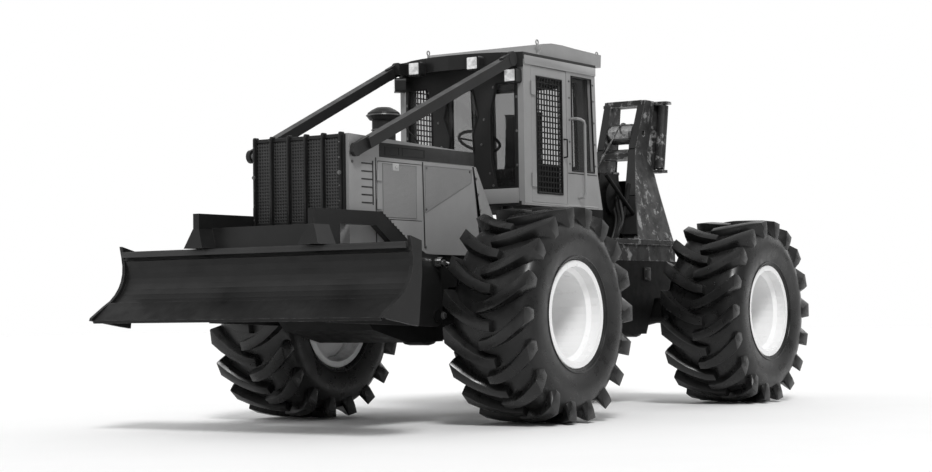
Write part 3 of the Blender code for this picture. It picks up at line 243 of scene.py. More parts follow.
extraLooks = {
    "sideMesh": {"colour": 0.235, "second": 0.215, "rough": (0.35, 0.45), "plane": "YZ", "pitch": 0.0095,
                 "holes": 0.22, "holeColour": 0.15, "bump": 0.5, "depth": 0.0012, "edge": 0.2},
    "grilleSheet": {"colour": 0.045, "second": 0.030, "rough": (0.3, 0.45), "plane": "XZ", "pitch": 0.026,
                    "holes": 0.27, "holeColour": 0.0015, "bump": 0.6, "depth": 0.002, "specular": 0.3,
                    "edge": 0.2, "edgeColour": 0.1},
    # the blade's top strip: the blade's black made about twice as light, painted light for the bright bevelled top
    # lip
    "bladeTopPaintedLight": {"colour": 0.022, "second": 0.028, "rough": (0.3, 0.42), "bump": 0.05, "specular": 0.3,
                 "edge": 0.3, "edgeColour": 0.12},
    "edgeLine": {"colour": 0.13, "second": 0.11, "rough": (0.35, 0.45), "bump": 0.05, "edge": 0.2},
    "polished": {"colour": 0.34, "second": 0.22, "patchScale": 9.0, "rough": (0.18, 0.4), "metal": 0.9,
                 "wear": 0.08, "wearScale": 12.0, "wearAt": 0.56, "bump": 0.2, "depth": 0.002, "edge": 0.4,
                 "edgeColour": 0.6},
    "gasket": {"colour": 0.006, "rough": (0.45, 0.6), "bump": 0.1, "specular": 0.25, "edge": 0.1,
               "edgeColour": 0.05},
    "boltSteel": {"colour": 0.16, "second": 0.08, "rough": (0.3, 0.45), "metal": 0.7, "bump": 0.1, "edge": 0.6,
                  "edgeColour": 0.5},
    "lampGlass": {"colour": 0.72, "second": 0.45, "patchScale": 45.0, "rough": (0.08, 0.18), "metal": 0.5,
                  "glow": 0.18, "bump": 0.4, "grainScale": 90.0, "edge": 0.2},
    "railPaint": {"colour": 0.42, "second": 0.34, "rough": (0.3, 0.42), "coat": 0.2, "bump": 0.04, "edge": 0.3},
    "hoseRubber": {"colour": 0.008, "second": 0.012, "rough": (0.4, 0.6), "bump": 0.2, "specular": 0.3,
                   "edge": 0.1, "edgeColour": 0.05},
    "floorPaper": {"colour": 0.90, "second": 0.885, "patchScale": 0.6, "rough": (0.7, 0.8), "bump": 0.02},
}


glass = {"colour": 0.02, "second": 0.018, "rough": (0.03, 0.07), "alpha": 0.34, "bump": 0.01}


def makeGlass(name, v):
    made = surface(name, v)
    made.surface_render_method = "BLENDED"
    return made


finishes = {name: surface(name + "Look", v) for name, v in looks.items()}
finishes.update({name: surface(name, v) for name, v in extraLooks.items()})
finishes["window_glass"] = makeGlass("tintedGlass", glass)
for part in frame["record"]["subparts"]:
    node = nodes[part["node"]]
    node.data.materials.clear()
    look = "polished" if part["node"] == "fairlead_roller" else part["material_slot"]
    node.data.materials.append(finishes[look])
print("materials made")


def deselectAll():
    for obj in bpy.context.selected_objects:
        obj.select_set(False)


def pick(*objs):
    deselectAll()
    for obj in objs:
        obj.select_set(True)
    bpy.context.view_layer.objects.active = objs[0]


def fixPlace():
    bpy.ops.object.transform_apply(location=True, rotation=True, scale=True)
    return bpy.context.object


def block(low, high, bevel=0.0):  # a bar between two corners
    deselectAll()
    low, high = Vector(low), Vector(high)
    bpy.ops.mesh.primitive_cube_add(size=1, location=(low + high) / 2)
    bpy.context.object.scale = high - low
    obj = fixPlace()
    if bevel:
        applyBevel(obj, bevel)
    return obj


def sideBar(x, less, more, area, bevel):  # a bar across x, over (start y, end y, low z, high z)
    start, end, low, high = area
    return block((x - less, start + mid, low), (x + more, end + mid, high), bevel)


def applyBevel(obj, width, segments=2):
    pick(obj)
    bevel = obj.modifiers.new("edges", "BEVEL")
    bevel.width = width
    bevel.segments = segments
    bevel.limit_method = "ANGLE"
    bpy.ops.object.modifier_apply(modifier=bevel.name)


def barrelShape(start, end, radius, steps=16, bevel=0.0):
    deselectAll()
    start, end = Vector(start), Vector(end)
    along = end - start
    bpy.ops.mesh.primitive_cylinder_add(vertices=steps, radius=radius, depth=along.length, location=(0, 0, 0))
    obj = bpy.context.object
    turn = along.to_track_quat("Z", "Y").to_matrix().to_4x4()
    obj.data.transform(Matrix.Translation((start + end) / 2) @ turn)
    if bevel:
        applyBevel(obj, bevel)
    return obj


def ring(place, radius, thick, steps, sideways=True):  # round about X when sideways, else about Z
    deselectAll()
    bpy.ops.mesh.primitive_torus_add(major_segments=steps, minor_segments=8, major_radius=radius,
                                     minor_radius=thick, rotation=(0, math.pi / 2 if sideways else 0, 0),
                                     location=place)
    return fixPlace()


def fromWork(name, work):
    mesh = bpy.data.meshes.new(name)
    work.to_mesh(mesh)
    work.free()
    obj = bpy.data.objects.new(name, mesh)
    bpy.context.scene.collection.objects.link(obj)
    return obj


def plateBetween(name, near, far):  # closed all round, from one outline to the other
    work = bmesh.new()
    near = [work.verts.new(place) for place in near]
    far = [work.verts.new(place) for place in far]
    work.faces.new(near)
    work.faces.new(far[::-1])
    for i in range(len(near)):
        j = (i + 1) % len(near)
        work.faces.new((near[j], near[i], far[i], far[j]))
    bmesh.ops.recalc_face_normals(work, faces=work.faces)
    return fromWork(name, work)


def copyTo(obj, matrix):
    twin = obj.copy()
    twin.data = obj.data.copy()
    twin.data.transform(matrix)
    if matrix.determinant() < 0:
        twin.data.flip_normals()
    bpy.context.scene.collection.objects.link(twin)
    return twin


def joined(name, objs):
    pick(*objs)
    if len(objs) > 1:
        bpy.ops.object.join()
    obj = bpy.context.object
    obj.name = name
    return obj


def finished(name, objs, body, look, angle=35, replaced=()):  # one piece that rides on a body
    obj = joined(name, objs)
    obj.data.materials.clear()
    obj.data.materials.append(finishes[look])
    pick(obj)
    bpy.ops.object.shade_smooth_by_angle(angle=math.radians(angle))
    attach(obj, body)
    if replaced:
        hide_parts(*replaced)
    return obj


def sweep(path, radius, steps=10):  # a round bar through the points
    data = bpy.data.curves.new("bar", "CURVE")
    data.dimensions = "3D"
    data.bevel_depth = radius
    data.bevel_resolution = max(1, steps // 4)
    data.use_fill_caps = True
    line = data.splines.new("POLY")
    line.points.add(len(path) - 1)
    for point, place in zip(line.points, path):
        point.co = (*place, 1)
    obj = bpy.data.objects.new("bar", data)
    bpy.context.scene.collection.objects.link(obj)
    pick(obj)
    bpy.ops.object.convert(target="MESH")
    return bpy.context.object


def loopBar(outline, radius):  # a thin bar that runs once round the outline
    return sweep(list(outline) + [outline[0], outline[1]], radius, 6)


def curved(path, count):  # points along a smooth line through the given ones
    ends = [Vector(path[0])] + [Vector(place) for place in path] + [Vector(path[-1])]
    out = []
    for i in range(count + 1):
        t = i / count * (len(path) - 1)
        k = min(int(t), len(path) - 2)
        t -= k
        a, b, c, d = ends[k:k + 4]
        square, cube = (2 * a - 5 * b + 4 * c - d) * t ** 2, (3 * b - a - 3 * c + d) * t ** 3
        out.append(0.5 * (2 * b + (c - a) * t + square + cube))
    return out


# all in head radii, apart from the numbers of sides
bolt = {"washer": 0.22, "washerOut": 1.25, "washerSides": 12, "head": 0.85, "headSides": 6, "corner": 0.12}


def boltHead(place, facing, size):  # a hexagon head on its washer
    place, facing = Vector(place), Vector(facing).normalized()
    washer = barrelShape(place, place + facing * size * bolt["washer"], size * bolt["washerOut"],
                         bolt["washerSides"])
    head = barrelShape(place, place + facing * size * bolt["head"], size, bolt["headSides"], size * bolt["corner"])
    return [washer, head]


# the profile is (x, radius) from one bead to the crown, and the guard is its x, radius and thickness
tyre = {"profile": ((0.3305, 0.4325), (0.341, 0.4485), (0.357, 0.462), (0.3735, 0.52), (0.3835, 0.60),
                    (0.3855, 0.66), (0.3755, 0.72), (0.3375, 0.775), (0.28, 0.806), (0.15, 0.819), (0, 0.822)),
        "steps": 72, "weld": 0.0005, "lugs": 18, "lugBevel": 0.004, "guard": (0.3615, 0.475, 0.008), "smooth": 28}


def makeCarcass(v):
    rim = list(v["profile"]) + [(-x, r) for x, r in reversed(v["profile"][:-1])]
    work = bmesh.new()
    points = [work.verts.new((x, r, 0)) for x, r in rim]
    for pair in zip(points, points[1:] + points[:1]):
        work.edges.new(pair)
    obj = fromWork("carcass", work)
    pick(obj)
    bpy.ops.object.mode_set(mode="EDIT")
    bpy.ops.mesh.select_all(action="SELECT")
    bpy.ops.mesh.spin(steps=v["steps"], angle=2 * math.pi, center=(0, 0, 0), axis=(1, 0, 0))
    bpy.ops.mesh.select_all(action="SELECT")
    bpy.ops.mesh.remove_doubles(threshold=v["weld"])
    bpy.ops.mesh.normals_make_consistent(inside=False)
    bpy.ops.object.mode_set(mode="OBJECT")
    return obj


# outer x and radius, inner x and radius, turn behind the shoulder in degrees, half width outside and inside
lugSections = ((-0.058, 0.882, -0.066, 0.800, 15.8, 0.038, 0.048), (0.020, 0.889, 0.012, 0.800, 15.0, 0.042, 0.055),
               (0.110, 0.889, 0.105, 0.798, 12.8, 0.046, 0.061), (0.200, 0.888, 0.196, 0.790, 9.4, 0.052, 0.069),
               (0.290, 0.885, 0.280, 0.770, 5.1, 0.059, 0.077), (0.3855, 0.877, 0.330, 0.745, 0.0, 0.064, 0.085),
               (0.3870, 0.806, 0.345, 0.725, -0.5, 0.056, 0.078), (0.3862, 0.730, 0.362, 0.685, -0.8, 0.030, 0.050))


def makeLug(v):  # a block cut into slices, whose corners are then moved onto the crown and the shoulder
    deselectAll()
    bpy.ops.mesh.primitive_cube_add(size=1, location=(0, 0, 0))
    obj = bpy.context.object
    slices = len(lugSections) - 1
    pick(obj)
    bpy.ops.object.mode_set(mode="EDIT")
    for i in range(1, slices):
        bpy.ops.mesh.select_all(action="SELECT")
        bpy.ops.mesh.bisect(plane_co=(i / slices - 0.5, 0, 0), plane_no=(1, 0, 0))
    bpy.ops.object.mode_set(mode="OBJECT")
    for vert in obj.data.vertices:
        outX, outR, inX, inR, turn, outHalf, inHalf = lugSections[round((vert.co.x + 0.5) * slices)]
        outside = vert.co.z > 0
        x, radius, half = (outX, outR, outHalf) if outside else (inX, inR, inHalf)
        spin = math.radians(turn) + math.copysign(half / radius, vert.co.y)
        vert.co = (x, -radius * math.cos(spin), -radius * math.sin(spin))
    pick(obj)
    bpy.ops.object.mode_set(mode="EDIT")
    bpy.ops.mesh.select_all(action="SELECT")
    bpy.ops.mesh.normals_make_consistent(inside=False)
    bpy.ops.object.mode_set(mode="OBJECT")
    applyBevel(obj, v["lugBevel"])
    return obj


def makeTyres(v):
    carcass = makeCarcass(v)
    lug = makeLug(v)
    other = copyTo(lug, Matrix.Rotation(math.radians(180 / v["lugs"]), 4, "X") @ Matrix.Diagonal((-1, 1, 1, 1)))
    copies = []
    for i in range(v["lugs"]):
        turn = Matrix.Rotation(2 * math.pi * i / v["lugs"], 4, "X")
        copies += [copyTo(lug, turn), copyTo(other, turn)]
    bpy.data.objects.remove(lug)
    bpy.data.objects.remove(other)
    guardX, guardRadius, guardThick = v["guard"]
    guards = [ring((x * guardX, 0, 0), guardRadius, guardThick, v["steps"]) for x in (-1, 1)]
    whole = joined("tyreShape", [carcass] + copies + guards)
    for wheel in wheels:
        low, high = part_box(f"{wheel}_tyre")
        twin = copyTo(whole, Matrix.Translation((low + high) / 2))
        finished(f"{wheel}_treadTyre", [twin], f"{wheel}_wheel", "tyre_rubber", v["smooth"],
                 [f"{wheel}_tyre"])
    bpy.data.objects.remove(whole)


makeTyres(tyre)
print("tyres made")

rimFittings = {"bolts": 12, "circle": 0.155, "size": 0.016, "inside": 0.19, "lipOut": 0.338, "lipRadius": 0.4345,
               "lipThick": 0.009, "steps": 72}


def makeRimFittings(v):
    for wheel, sign in wheels.items():
        low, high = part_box(f"{wheel}_rim")
        centre = (low + high) / 2
        face = centre.x + sign * -v["inside"]
        bolts = []
        for i in range(v["bolts"]):
            turn = 2 * math.pi * i / v["bolts"]
            place = (face, centre.y + v["circle"] * math.cos(turn), centre.z + v["circle"] * math.sin(turn))
            bolts += boltHead(place, (sign, 0, 0), v["size"])
        finished(f"{wheel}_wheelBolts", bolts, f"{wheel}_wheel", "boltSteel")
        lip = [ring((centre.x + out * v["lipOut"], centre.y, centre.z), v["lipRadius"], v["lipThick"], v["steps"])
               for out in (-1, 1)]
        finished(f"{wheel}_rimLip", lip, f"{wheel}_wheel", "rim_paint")


makeRimFittings(rimFittings)
print("rims made")

fieldShape = {"proud": 0.002, "wall": 0.0018, "edge": 0.0027}


def framedPanel(outline, x, sign):  # a thin field on the machine's side, and the bar round it
    path = [(sign * (x + fieldShape["proud"]), y + mid, z) for y, z in outline]
    work = bmesh.new()
    face = work.faces.new([work.verts.new(place) for place in path])
    work.normal_update()
    if face.normal.x * sign < 0:
        face.normal_flip()
    obj = fromWork("field", work)
    solid = obj.modifiers.new("wall", "SOLIDIFY")
    solid.thickness = fieldShape["wall"]
    solid.offset = -1
    pick(obj)
    bpy.ops.object.modifier_apply(modifier=solid.name)
    return obj, loopBar(path, fieldShape["edge"])


plateEdge = {"bevel": 0.003, "share": 0.4}  # a thin plate's bevel is at most this share of its thickness


def sidePlate(outline, x, sign, thickness):  # a flat plate on the machine's side
    near, far = ([(sign * place, y + mid, z) for y, z in outline] for place in (x, x + thickness))
    obj = plateBetween("plate", near, far)
    applyBevel(obj, min(plateEdge["bevel"], thickness * plateEdge["share"]), 1)
    return obj


def alongLine(start, end, count):
    return [(start[0] + (end[0] - start[0]) * i / (count - 1), start[1] + (end[1] - start[1]) * i / (count - 1))
            for i in range(count)]


# outlines are (y, z), areas are (start y, end y, low z, high z), and bars are what sideBar takes after x
hood = {"side": 0.48, "doorProud": 0.0025, "rearProud": 0.0005,
        "doorField": ((-3.02, 1.69), (-2.556, 1.69), (-2.556, 2.115), (-3.02, 2.115)),
        "rearField": ((-2.426, 1.742), (-1.74, 2.02), (-1.72, 2.13), (-2.426, 2.13)),
        "bolts": ((-2.405, 2.112), (-1.755, 2.112), (-2.415, 1.772), (-2.43, 1.46), (-3.42, 1.46), (-3.42, 2.11)),
        "boltRow": ((-1.66, 2.06), (-1.555, 1.52), 5), "boltProud": 0.001, "boltSize": 0.010,
        "louvres": 6, "louvreLow": 1.79, "louvrePitch": 0.062, "louvreHigh": 0.010,
        "louvreSpan": (-3.30, -3.155), "louvre": (0.003, 0.005, 0.003),
        "louvrePost": (0.003, 0.004, (-3.155, -3.143, 1.78, 2.13), 0.002),
        "seams": (((-3.116, 1.45), (-3.102, 1.45), (-3.102, 2.158), (-3.116, 2.158)),
                  ((-2.446, 1.45), (-2.430, 1.45), (-2.450, 2.158), (-2.466, 2.158)),
                  ((-1.60, 1.45), (-1.59, 1.45), (-1.70, 2.158), (-1.712, 2.158))),
        "seamWall": 0.002, "skirtWall": 0.012,
        "skirt": ((-1.595, 1.45), (-1.34, 1.45), (-1.34, 1.66), (-1.655, 2.16), (-1.705, 2.16)),
        "latchProud": 0.002, "latch": ((0.006, 0.006, (-2.885, -2.80, 2.065, 2.125), 0.004),
                                       (0.006, 0.014, (-2.855, -2.83, 2.085, 2.105), 0.004)),
        "band": (0.004, 0.005, (-3.06, -1.69, 2.166, 2.282), 0.004),
        "slots": ((-2.99, -2.80, 2.19, 2.255), (-2.75, -2.44, 2.19, 2.255)), "slotProud": 0.005, "slotLine": 0.0035}


def makeHoodSides(v):
    for side, sign in sides:
        x = v["side"]
        field, edge = framedPanel(v["doorField"], x + v["doorProud"], sign)
        finished(f"hoodDoorField_{side}", [field], f"hood_door_{side}", "sideMesh")
        finished(f"hoodDoorEdge_{side}", [edge], f"hood_door_{side}", "edgeLine")
        field, edge = framedPanel(v["rearField"], x + v["rearProud"], sign)
        finished(f"hoodRearField_{side}", [field], "front_chassis", "sideMesh")
        finished(f"hoodRearEdge_{side}", [edge], "front_chassis", "edgeLine")
        bolts = []
        for y, z in list(v["bolts"]) + alongLine(*v["boltRow"]):
            bolts += boltHead((sign * (x + v["boltProud"]), y + mid, z), (sign, 0, 0), v["boltSize"])
        finished(f"hoodBolts_{side}", bolts, "front_chassis", "boltSteel")
        louvres = []
        less, more, bevel = v["louvre"]
        for i in range(v["louvres"]):
            z = v["louvreLow"] + i * v["louvrePitch"]
            louvres.append(sideBar(sign * x, less, more, (*v["louvreSpan"], z, z + v["louvreHigh"]), bevel))
        louvres.append(sideBar(sign * x, *v["louvrePost"]))
        finished(f"hoodLouvres_{side}", louvres, "front_chassis", "dark_paint")
        seams = [sidePlate(outline, x, sign, v["seamWall"]) for outline in v["seams"]]
        finished(f"hoodSeams_{side}", seams, "front_chassis", "gasket")
        skirt = [sidePlate(v["skirt"], x - v["skirtWall"], sign, v["skirtWall"])]
        finished(f"hoodSkirt_{side}", skirt, "front_chassis", "body_paint")
        latch = [sideBar(sign * (x + v["latchProud"]), *bar) for bar in v["latch"]]
        finished(f"hoodLatch_{side}", latch, f"hood_door_{side}", "railPaint")
        finished(f"hoodBand_{side}", [sideBar(sign * x, *v["band"])], "front_chassis", "dark_paint")
        slots = []
        for start, end, low, high in v["slots"]:
            corners = ((start, low), (end, low), (end, high), (start, high))
            slots.append(loopBar([(sign * (x + v["slotProud"]), y + mid, z) for y, z in corners], v["slotLine"]))
        finished(f"hoodSlots_{side}", slots, "front_chassis", "gasket")


# the ribs' and caps' near and far count from the grille's front, and their foot and top from its low and high
grille = {"bays": 5, "half": 0.45, "margin": 0.02, "low": 1.62, "high": 2.325, "front": -3.4953,
          "sheetGap": 0.012, "sheetEnds": 0.032, "sheetNear": 0.008, "sheetFar": 0.012,
          "rib": {"half": 0.010, "near": -0.026, "far": 0.004, "foot": 0.004, "top": 0.006, "bevel": 0.006},
          "cap": {"half": 0.014, "near": -0.018, "far": 0.032, "foot": -0.012, "top": 0.016, "bevel": 0.007},
          "knobSide": 0.43, "knobNear": 0.024, "latchHeight": 2.02, "latchSize": 0.014,
          "knobHeights": (1.68, 1.80, 1.92, 2.14, 2.26), "knobSize": 0.006}


def makeGrille(v):
    pitch = (2 * v["half"] - 2 * v["margin"]) / v["bays"]
    front = v["front"] + mid
    sheets, ribs, knobs = [], [], []
    for i in range(v["bays"]):
        left = -v["half"] + v["margin"] + i * pitch
        sheets.append(block((left + v["sheetGap"], front + v["sheetNear"], v["low"] + v["sheetEnds"]),
                            (left + pitch - v["sheetGap"], front + v["sheetFar"], v["high"] - v["sheetEnds"])))
    for i in range(v["bays"] + 1):
        x = -v["half"] + v["margin"] + i * pitch
        for bar, foot in ((v["rib"], v["low"]), (v["cap"], v["high"])):
            ribs.append(block((x - bar["half"], front + bar["near"], foot + bar["foot"]),
                              (x + bar["half"], front + bar["far"], v["high"] + bar["top"]), bar["bevel"]))
    finished("grilleSheets", sheets, "grille_door", "grilleSheet")
    for x in (-v["knobSide"], v["knobSide"]):
        knobs += boltHead((x, front - v["knobNear"], v["latchHeight"]), (0, -1, 0), v["latchSize"])
        for z in v["knobHeights"]:
            knobs += boltHead((x, front - v["knobNear"], z), (0, -1, 0), v["knobSize"])
    finished("grilleRibs", ribs, "grille_door", "grille_paint")
    finished("grilleKnobs", knobs, "grille_door", "boltSteel")


# rings are (z, radius), and the rod's points are (x, y from the intake's middle, z)
intake = {"rings": ((2.34, 0.1025), (2.46, 0.1025), (2.583, 0.1445)), "thick": 0.006, "steps": 40,
          "rod": ((0.30, 0.05, 2.27), (0.30, 0.05, 2.36), (0.24, 0.02, 2.44), (0.19, 0, 2.52), (0.15, 0, 2.55)),
          "rodRadius": 0.006, "rodPoints": 20}


def makeIntake(v):
    low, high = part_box("air_precleaner")
    centre = (low + high) / 2
    rings = [ring((centre.x, centre.y, z), radius, v["thick"], v["steps"], False) for z, radius in v["rings"]]
    finished("intakeRings", rings, "front_chassis", "boltSteel")
    path = [(x, centre.y + y, z) for x, y, z in v["rod"]]
    rod = sweep(curved(path, v["rodPoints"]), v["rodRadius"], 8)
    finished("intakeRod", [rod], "front_chassis", "gasket")


makeHoodSides(hood)
makeGrille(grille)
makeIntake(intake)
print("hood made")


def wireMesh(corner, across, upright, width, height, pitch, radius):  # bars both ways in one plane
    corner, across, upright = Vector(corner), Vector(across), Vector(upright)
    bars = []
    for along, length, other, reach in ((across, width, upright, height), (upright, height, across, width)):
        count = round(length / pitch)
        for i in range(1, count):
            start = corner + along * (i * length / count)
            bars.append(barrelShape(start, start + other * reach, radius, 6))
    return bars


# the door's area is (front y, rear y, low z, high z), and the front's outlines are (x, z)
cab = {"door": (-0.939, -0.511, 1.966, 2.994), "front": -1.155, "face": 0.66,
       "meshSide": 0.652, "meshPitch": 0.050, "meshWire": 0.0065, "doorGasket": (0.659, 0.012),
       "grip": ((0.66, -0.475, 2.30), (0.695, -0.475, 2.305), (0.695, -0.475, 2.46), (0.66, -0.475, 2.465)),
       "gripRadius": 0.008, "sideGasket": (0.661, 0.009),
       "sideWindow": ((-0.335, 2.19), (0.065, 2.19), (0.02, 3.05), (-0.335, 3.05)),
       "sideBolts": (2.25, 2.45, 2.65, 2.85, 3.0), "sideBoltSize": 0.008,
       "rearBolts": 0.095, "rearLean": 0.05, "rearFoot": 2.19, "frontBolts": -0.375,
       "seam": (0.002, 0.002, (-0.41, 0.115, 2.160, 2.168), 0.0015),
       "roofEdgeSide": 0.662, "roofEdge": (0.012, 0.012, (-1.15, 0.10, 3.085, 3.165), 0.008),
       "sill": (0.010, 0.003, (-1.155, 0.13, 1.862, 1.878), 0.003),
       "corner": ((0.375, 2.93), (0.315, 2.70), (0.315, 2.25), (0.36, 2.01), (0.57, 2.01), (0.57, 2.93)),
       "centre": ((0.13, 2.89), (0.185, 2.66), (0.125, 2.49), (0.135, 2.33)),
       "frontGasket": 0.008, "frontProud": 0.001,
       "panelHalf": 0.598, "panel": (0.008, 0.004, 1.868, 2.000), "panelBevel": 0.004, "faceBoltSize": 0.009,
       "faceBolts": ((0.345, 2.90), (0.245, 2.62), (0.215, 2.40), (0.30, 2.14), (0.335, 2.03), (0.585, 2.2),
                     (0.585, 2.5), (0.585, 2.8))}


def makeCabSide(v, side, sign):
    door, face = f"cab_door_{side}", sign * v["face"]
    front, rear, low, high = v["door"]
    mesh = wireMesh((sign * v["meshSide"], front + mid, low), (0, 1, 0), (0, 0, 1), rear - front, high - low,
                    v["meshPitch"], v["meshWire"])
    finished(f"doorMesh_{side}", mesh, door, "gasket")
    x, radius = v["doorGasket"]
    outline = [(sign * x, y + mid, z) for y, z in ((front, low), (rear, low), (rear, high), (front, high))]
    finished(f"doorGasket_{side}", [loopBar(outline, radius)], door, "gasket")
    grip = sweep([(sign * x, y + mid, z) for x, y, z in v["grip"]], v["gripRadius"])
    finished(f"doorGrip_{side}", [grip], door, "gasket")
    x, radius = v["sideGasket"]
    outline = [(sign * x, y + mid, z) for y, z in v["sideWindow"]]
    finished(f"sideGasket_{side}", [loopBar(outline, radius)], "front_chassis", "gasket")
    bolts = []
    for z in v["sideBolts"]:
        for y in (v["rearBolts"] - (z - v["rearFoot"]) * v["rearLean"], v["frontBolts"]):
            bolts += boltHead((face, y + mid, z), (sign, 0, 0), v["sideBoltSize"])
    finished(f"sideBolts_{side}", bolts, "front_chassis", "boltSteel")
    finished(f"cabSeam_{side}", [sideBar(face, *v["seam"])], "front_chassis", "gasket")
    outline = [(sign * x, v["front"] + mid - v["frontProud"], z) for x, z in v["corner"]]
    finished(f"cornerGasket_{side}", [loopBar(outline, v["frontGasket"])], "front_chassis", "gasket")
    edge = sideBar(sign * v["roofEdgeSide"], *v["roofEdge"])
    finished(f"roofEdge_{side}", [edge], "front_chassis", "body_paint")
    finished(f"cabSill_{side}", [sideBar(face, *v["sill"])], "front_chassis", "body_paint")


def makeCabFront(v):
    front = v["front"] + mid
    shape = list(v["centre"])
    outline = [(x, front - v["frontProud"], z) for x, z in shape + [(-x, z) for x, z in shape[::-1]]]
    finished("centreGasket", [loopBar(outline, v["frontGasket"])], "front_chassis", "gasket")
    near, far, low, high = v["panel"]
    panel = block((-v["panelHalf"], front - near, low), (v["panelHalf"], front + far, high), v["panelBevel"])
    finished("cabFrontPanel", [panel], "front_chassis", "body_paint")
    bolts = []
    for sign in (-1, 1):
        for x, z in v["faceBolts"]:
            bolts += boltHead((sign * x, front, z), (0, -1, 0), v["faceBoltSize"])
    finished("frontBolts", bolts, "front_chassis", "boltSteel")


# each lamp has its place and its turn in degrees, and each shape its half width, near and far y, and bevel
lamps = {"places": (((0.31, -1.385, 3.09), 0.0), ((-0.31, -1.385, 3.09), 0.0), ((0.58, -1.2005, 2.98), 0.0),
                    ((-0.60, -1.24, 2.98), -50.0)),
         "lens": (0.053, -0.058, -0.040, 0.008), "ring": (0.062, -0.054, -0.040, 0.016)}


def makeLamps(v):
    made = {"lens": [], "ring": []}
    for (x, y, z), turn in v["places"]:
        place = Matrix.Translation((x, y + mid, z)) @ Matrix.Rotation(math.radians(turn), 4, "Z")
        for kind, shapes in made.items():
            half, near, far, bevel = v[kind]
            shape = block((-half, near, -half), (half, far, half), bevel)
            shape.data.transform(place)
            shapes.append(shape)
    finished("lampLenses", made["lens"], "front_chassis", "lampGlass")
    finished("lampRings", made["ring"], "front_chassis", "gasket")


roofEye = {"inset": 0.03, "radius": 0.020, "thick": 0.006, "steps": 20, "down": 0.010, "stemX": 0.006,
           "stemY": 0.012, "stemFoot": 0.02, "stemTop": 0.026, "bevel": 0.003}


def makeRoofEyes(v):
    eyes = []
    low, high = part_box("roof_unit")
    for x in (low.x + v["inset"], high.x - v["inset"]):
        for y in (low.y + v["inset"], high.y - v["inset"]):
            stem = ((x - v["stemX"], y - v["stemY"], low.z + v["stemFoot"]),
                    (x + v["stemX"], y + v["stemY"], high.z - v["stemTop"]), v["bevel"])
            eyes += [ring((x, y, high.z - v["down"]), v["radius"], v["thick"], v["steps"]), block(*stem)]
    finished("roofEyes", eyes, "front_chassis", "body_paint")


for side, sign in sides:
    makeCabSide(cab, side, sign)
makeCabFront(cab)
makeLamps(lamps)
makeRoofEyes(roofEye)
print("cab made")

# the teeth climb each arm from their start (y, z), by run in all
bladeTrim = {"half": 1.405, "strip": (-4.020, -3.998, 1.396, 1.442), "stripBevel": 0.004, "teeth": 9,
             "toothSide": 0.57, "toothHalf": 0.03, "toothStart": (-3.20, 1.72), "toothRun": (0.33, -0.20),
             "tooth": (-0.016, 0.002, -0.012, 0.014), "toothBevel": 0.002, "pinSide": 0.665, "pinSize": 0.026,
             "pins": ((-2.456, 0.896), (-2.456, 1.326))}


def makeBladeTrim(v):
    start, end, low, high = v["strip"]
    strip = block((-v["half"], start + mid, low), (v["half"], end + mid, high), v["stripBevel"])
    # the strip's lighter colour is painted light on the blade's bevelled top lip
    finished("bladeTopStrip", [strip], "blade", "bladeTopPaintedLight")
    near, far, under, over = v["tooth"]
    teeth, pins = [], []
    for sign in (-1, 1):
        x = sign * v["toothSide"]
        for i in range(v["teeth"]):
            along = (i + 0.5) / v["teeth"]
            y, z = (first + run * along for first, run in zip(v["toothStart"], v["toothRun"]))
            y += mid
            teeth.append(block((x - v["toothHalf"], y + near, z + under), (x + v["toothHalf"], y + far, z + over),
                               v["toothBevel"]))
    finished("armTeeth", teeth, "blade", "blade_paint")
    for sign in (-1, 1):
        for y, z in v["pins"]:
            pins += boltHead((sign * v["pinSide"], y + mid, z), (sign, 0, 0), v["pinSize"])
    finished("armPins", pins, "blade", "boltSteel")


makeBladeTrim(bladeTrim)
print("blade made")

rearTrim = {"plateSide": 0.4505, "plate": (0.003, 0.010, (1.385, 1.515, 1.205, 1.335), 0.004), "boltSide": 0.460,
            "boltCentre": (1.45, 1.27), "boltStep": 0.045, "boltSize": 0.008, "wraps": 14, "wrapStart": -0.143,
            "wrapPitch": 0.022, "drum": (1.16, 2.02), "wrapRadius": 0.141, "cable": 0.008, "steps": 32}


def makeRearTrim(v):
    plates, bolts = [], []
    y, z = v["boltCentre"]
    steps = (-v["boltStep"], v["boltStep"])
    for side, sign in sides:
        plates.append(sideBar(sign * v["plateSide"], *v["plate"]))
        for dy in steps:
            for dz in steps:
                bolts += boltHead((sign * v["boltSide"], y + dy + mid, z + dz), (sign, 0, 0), v["boltSize"])
    finished("framePlates", plates, "rear_chassis", "dark_paint")
    finished("frameBolts", bolts, "rear_chassis", "boltSteel")
    y, z = v["drum"]
    wraps = [ring((v["wrapStart"] + i * v["wrapPitch"], y + mid, z), v["wrapRadius"], v["cable"], v["steps"])
             for i in range(v["wraps"])]
    finished("drumWraps", wraps, "winch_drum", "worn_steel")


# braces are two points (x, y, z) and a radius, and the strip's stations are (inner x, outer x, y, z)
# each hose starts at its own x, and its stations are (x from there, y, z, step in y and step in z to the next hose)
archTrim = {"braces": (((0.34, 1.10, 1.66), (0.30, 1.38, 2.16), 0.026),
                       ((0.30, 0.92, 2.24), (0.36, 1.36, 1.86), 0.020)),
            "strip": ((0.27, 0.45, 1.28, 1.66), (0.225, 0.345, 1.44, 2.05), (0.145, 0.22, 1.68, 2.54),
                      (0.155, 0.235, 1.88, 3.02)),
            "stripWall": 0.012, "stripShrink": 0.03, "stripBack": 0.3,
            "tieHalf": 0.30, "tie": (1.93, 1.96, 1.62, 2.24), "tieBevel": 0.008,
            "hoses": (0.30, 0.335, 0.37), "hoseRadius": 0.014, "hosePoints": 24, "hoseEnd": (0.262, 1.20, 1.98, 0.05),
            "hosePath": ((0, 0.86, 1.42, 0.03, 0), (0.06, 0.93, 1.62, 0, 0.03), (0.03, 1.06, 1.80, 0, 0),
                         (-0.05, 1.16, 1.92, 0, 0.03))}


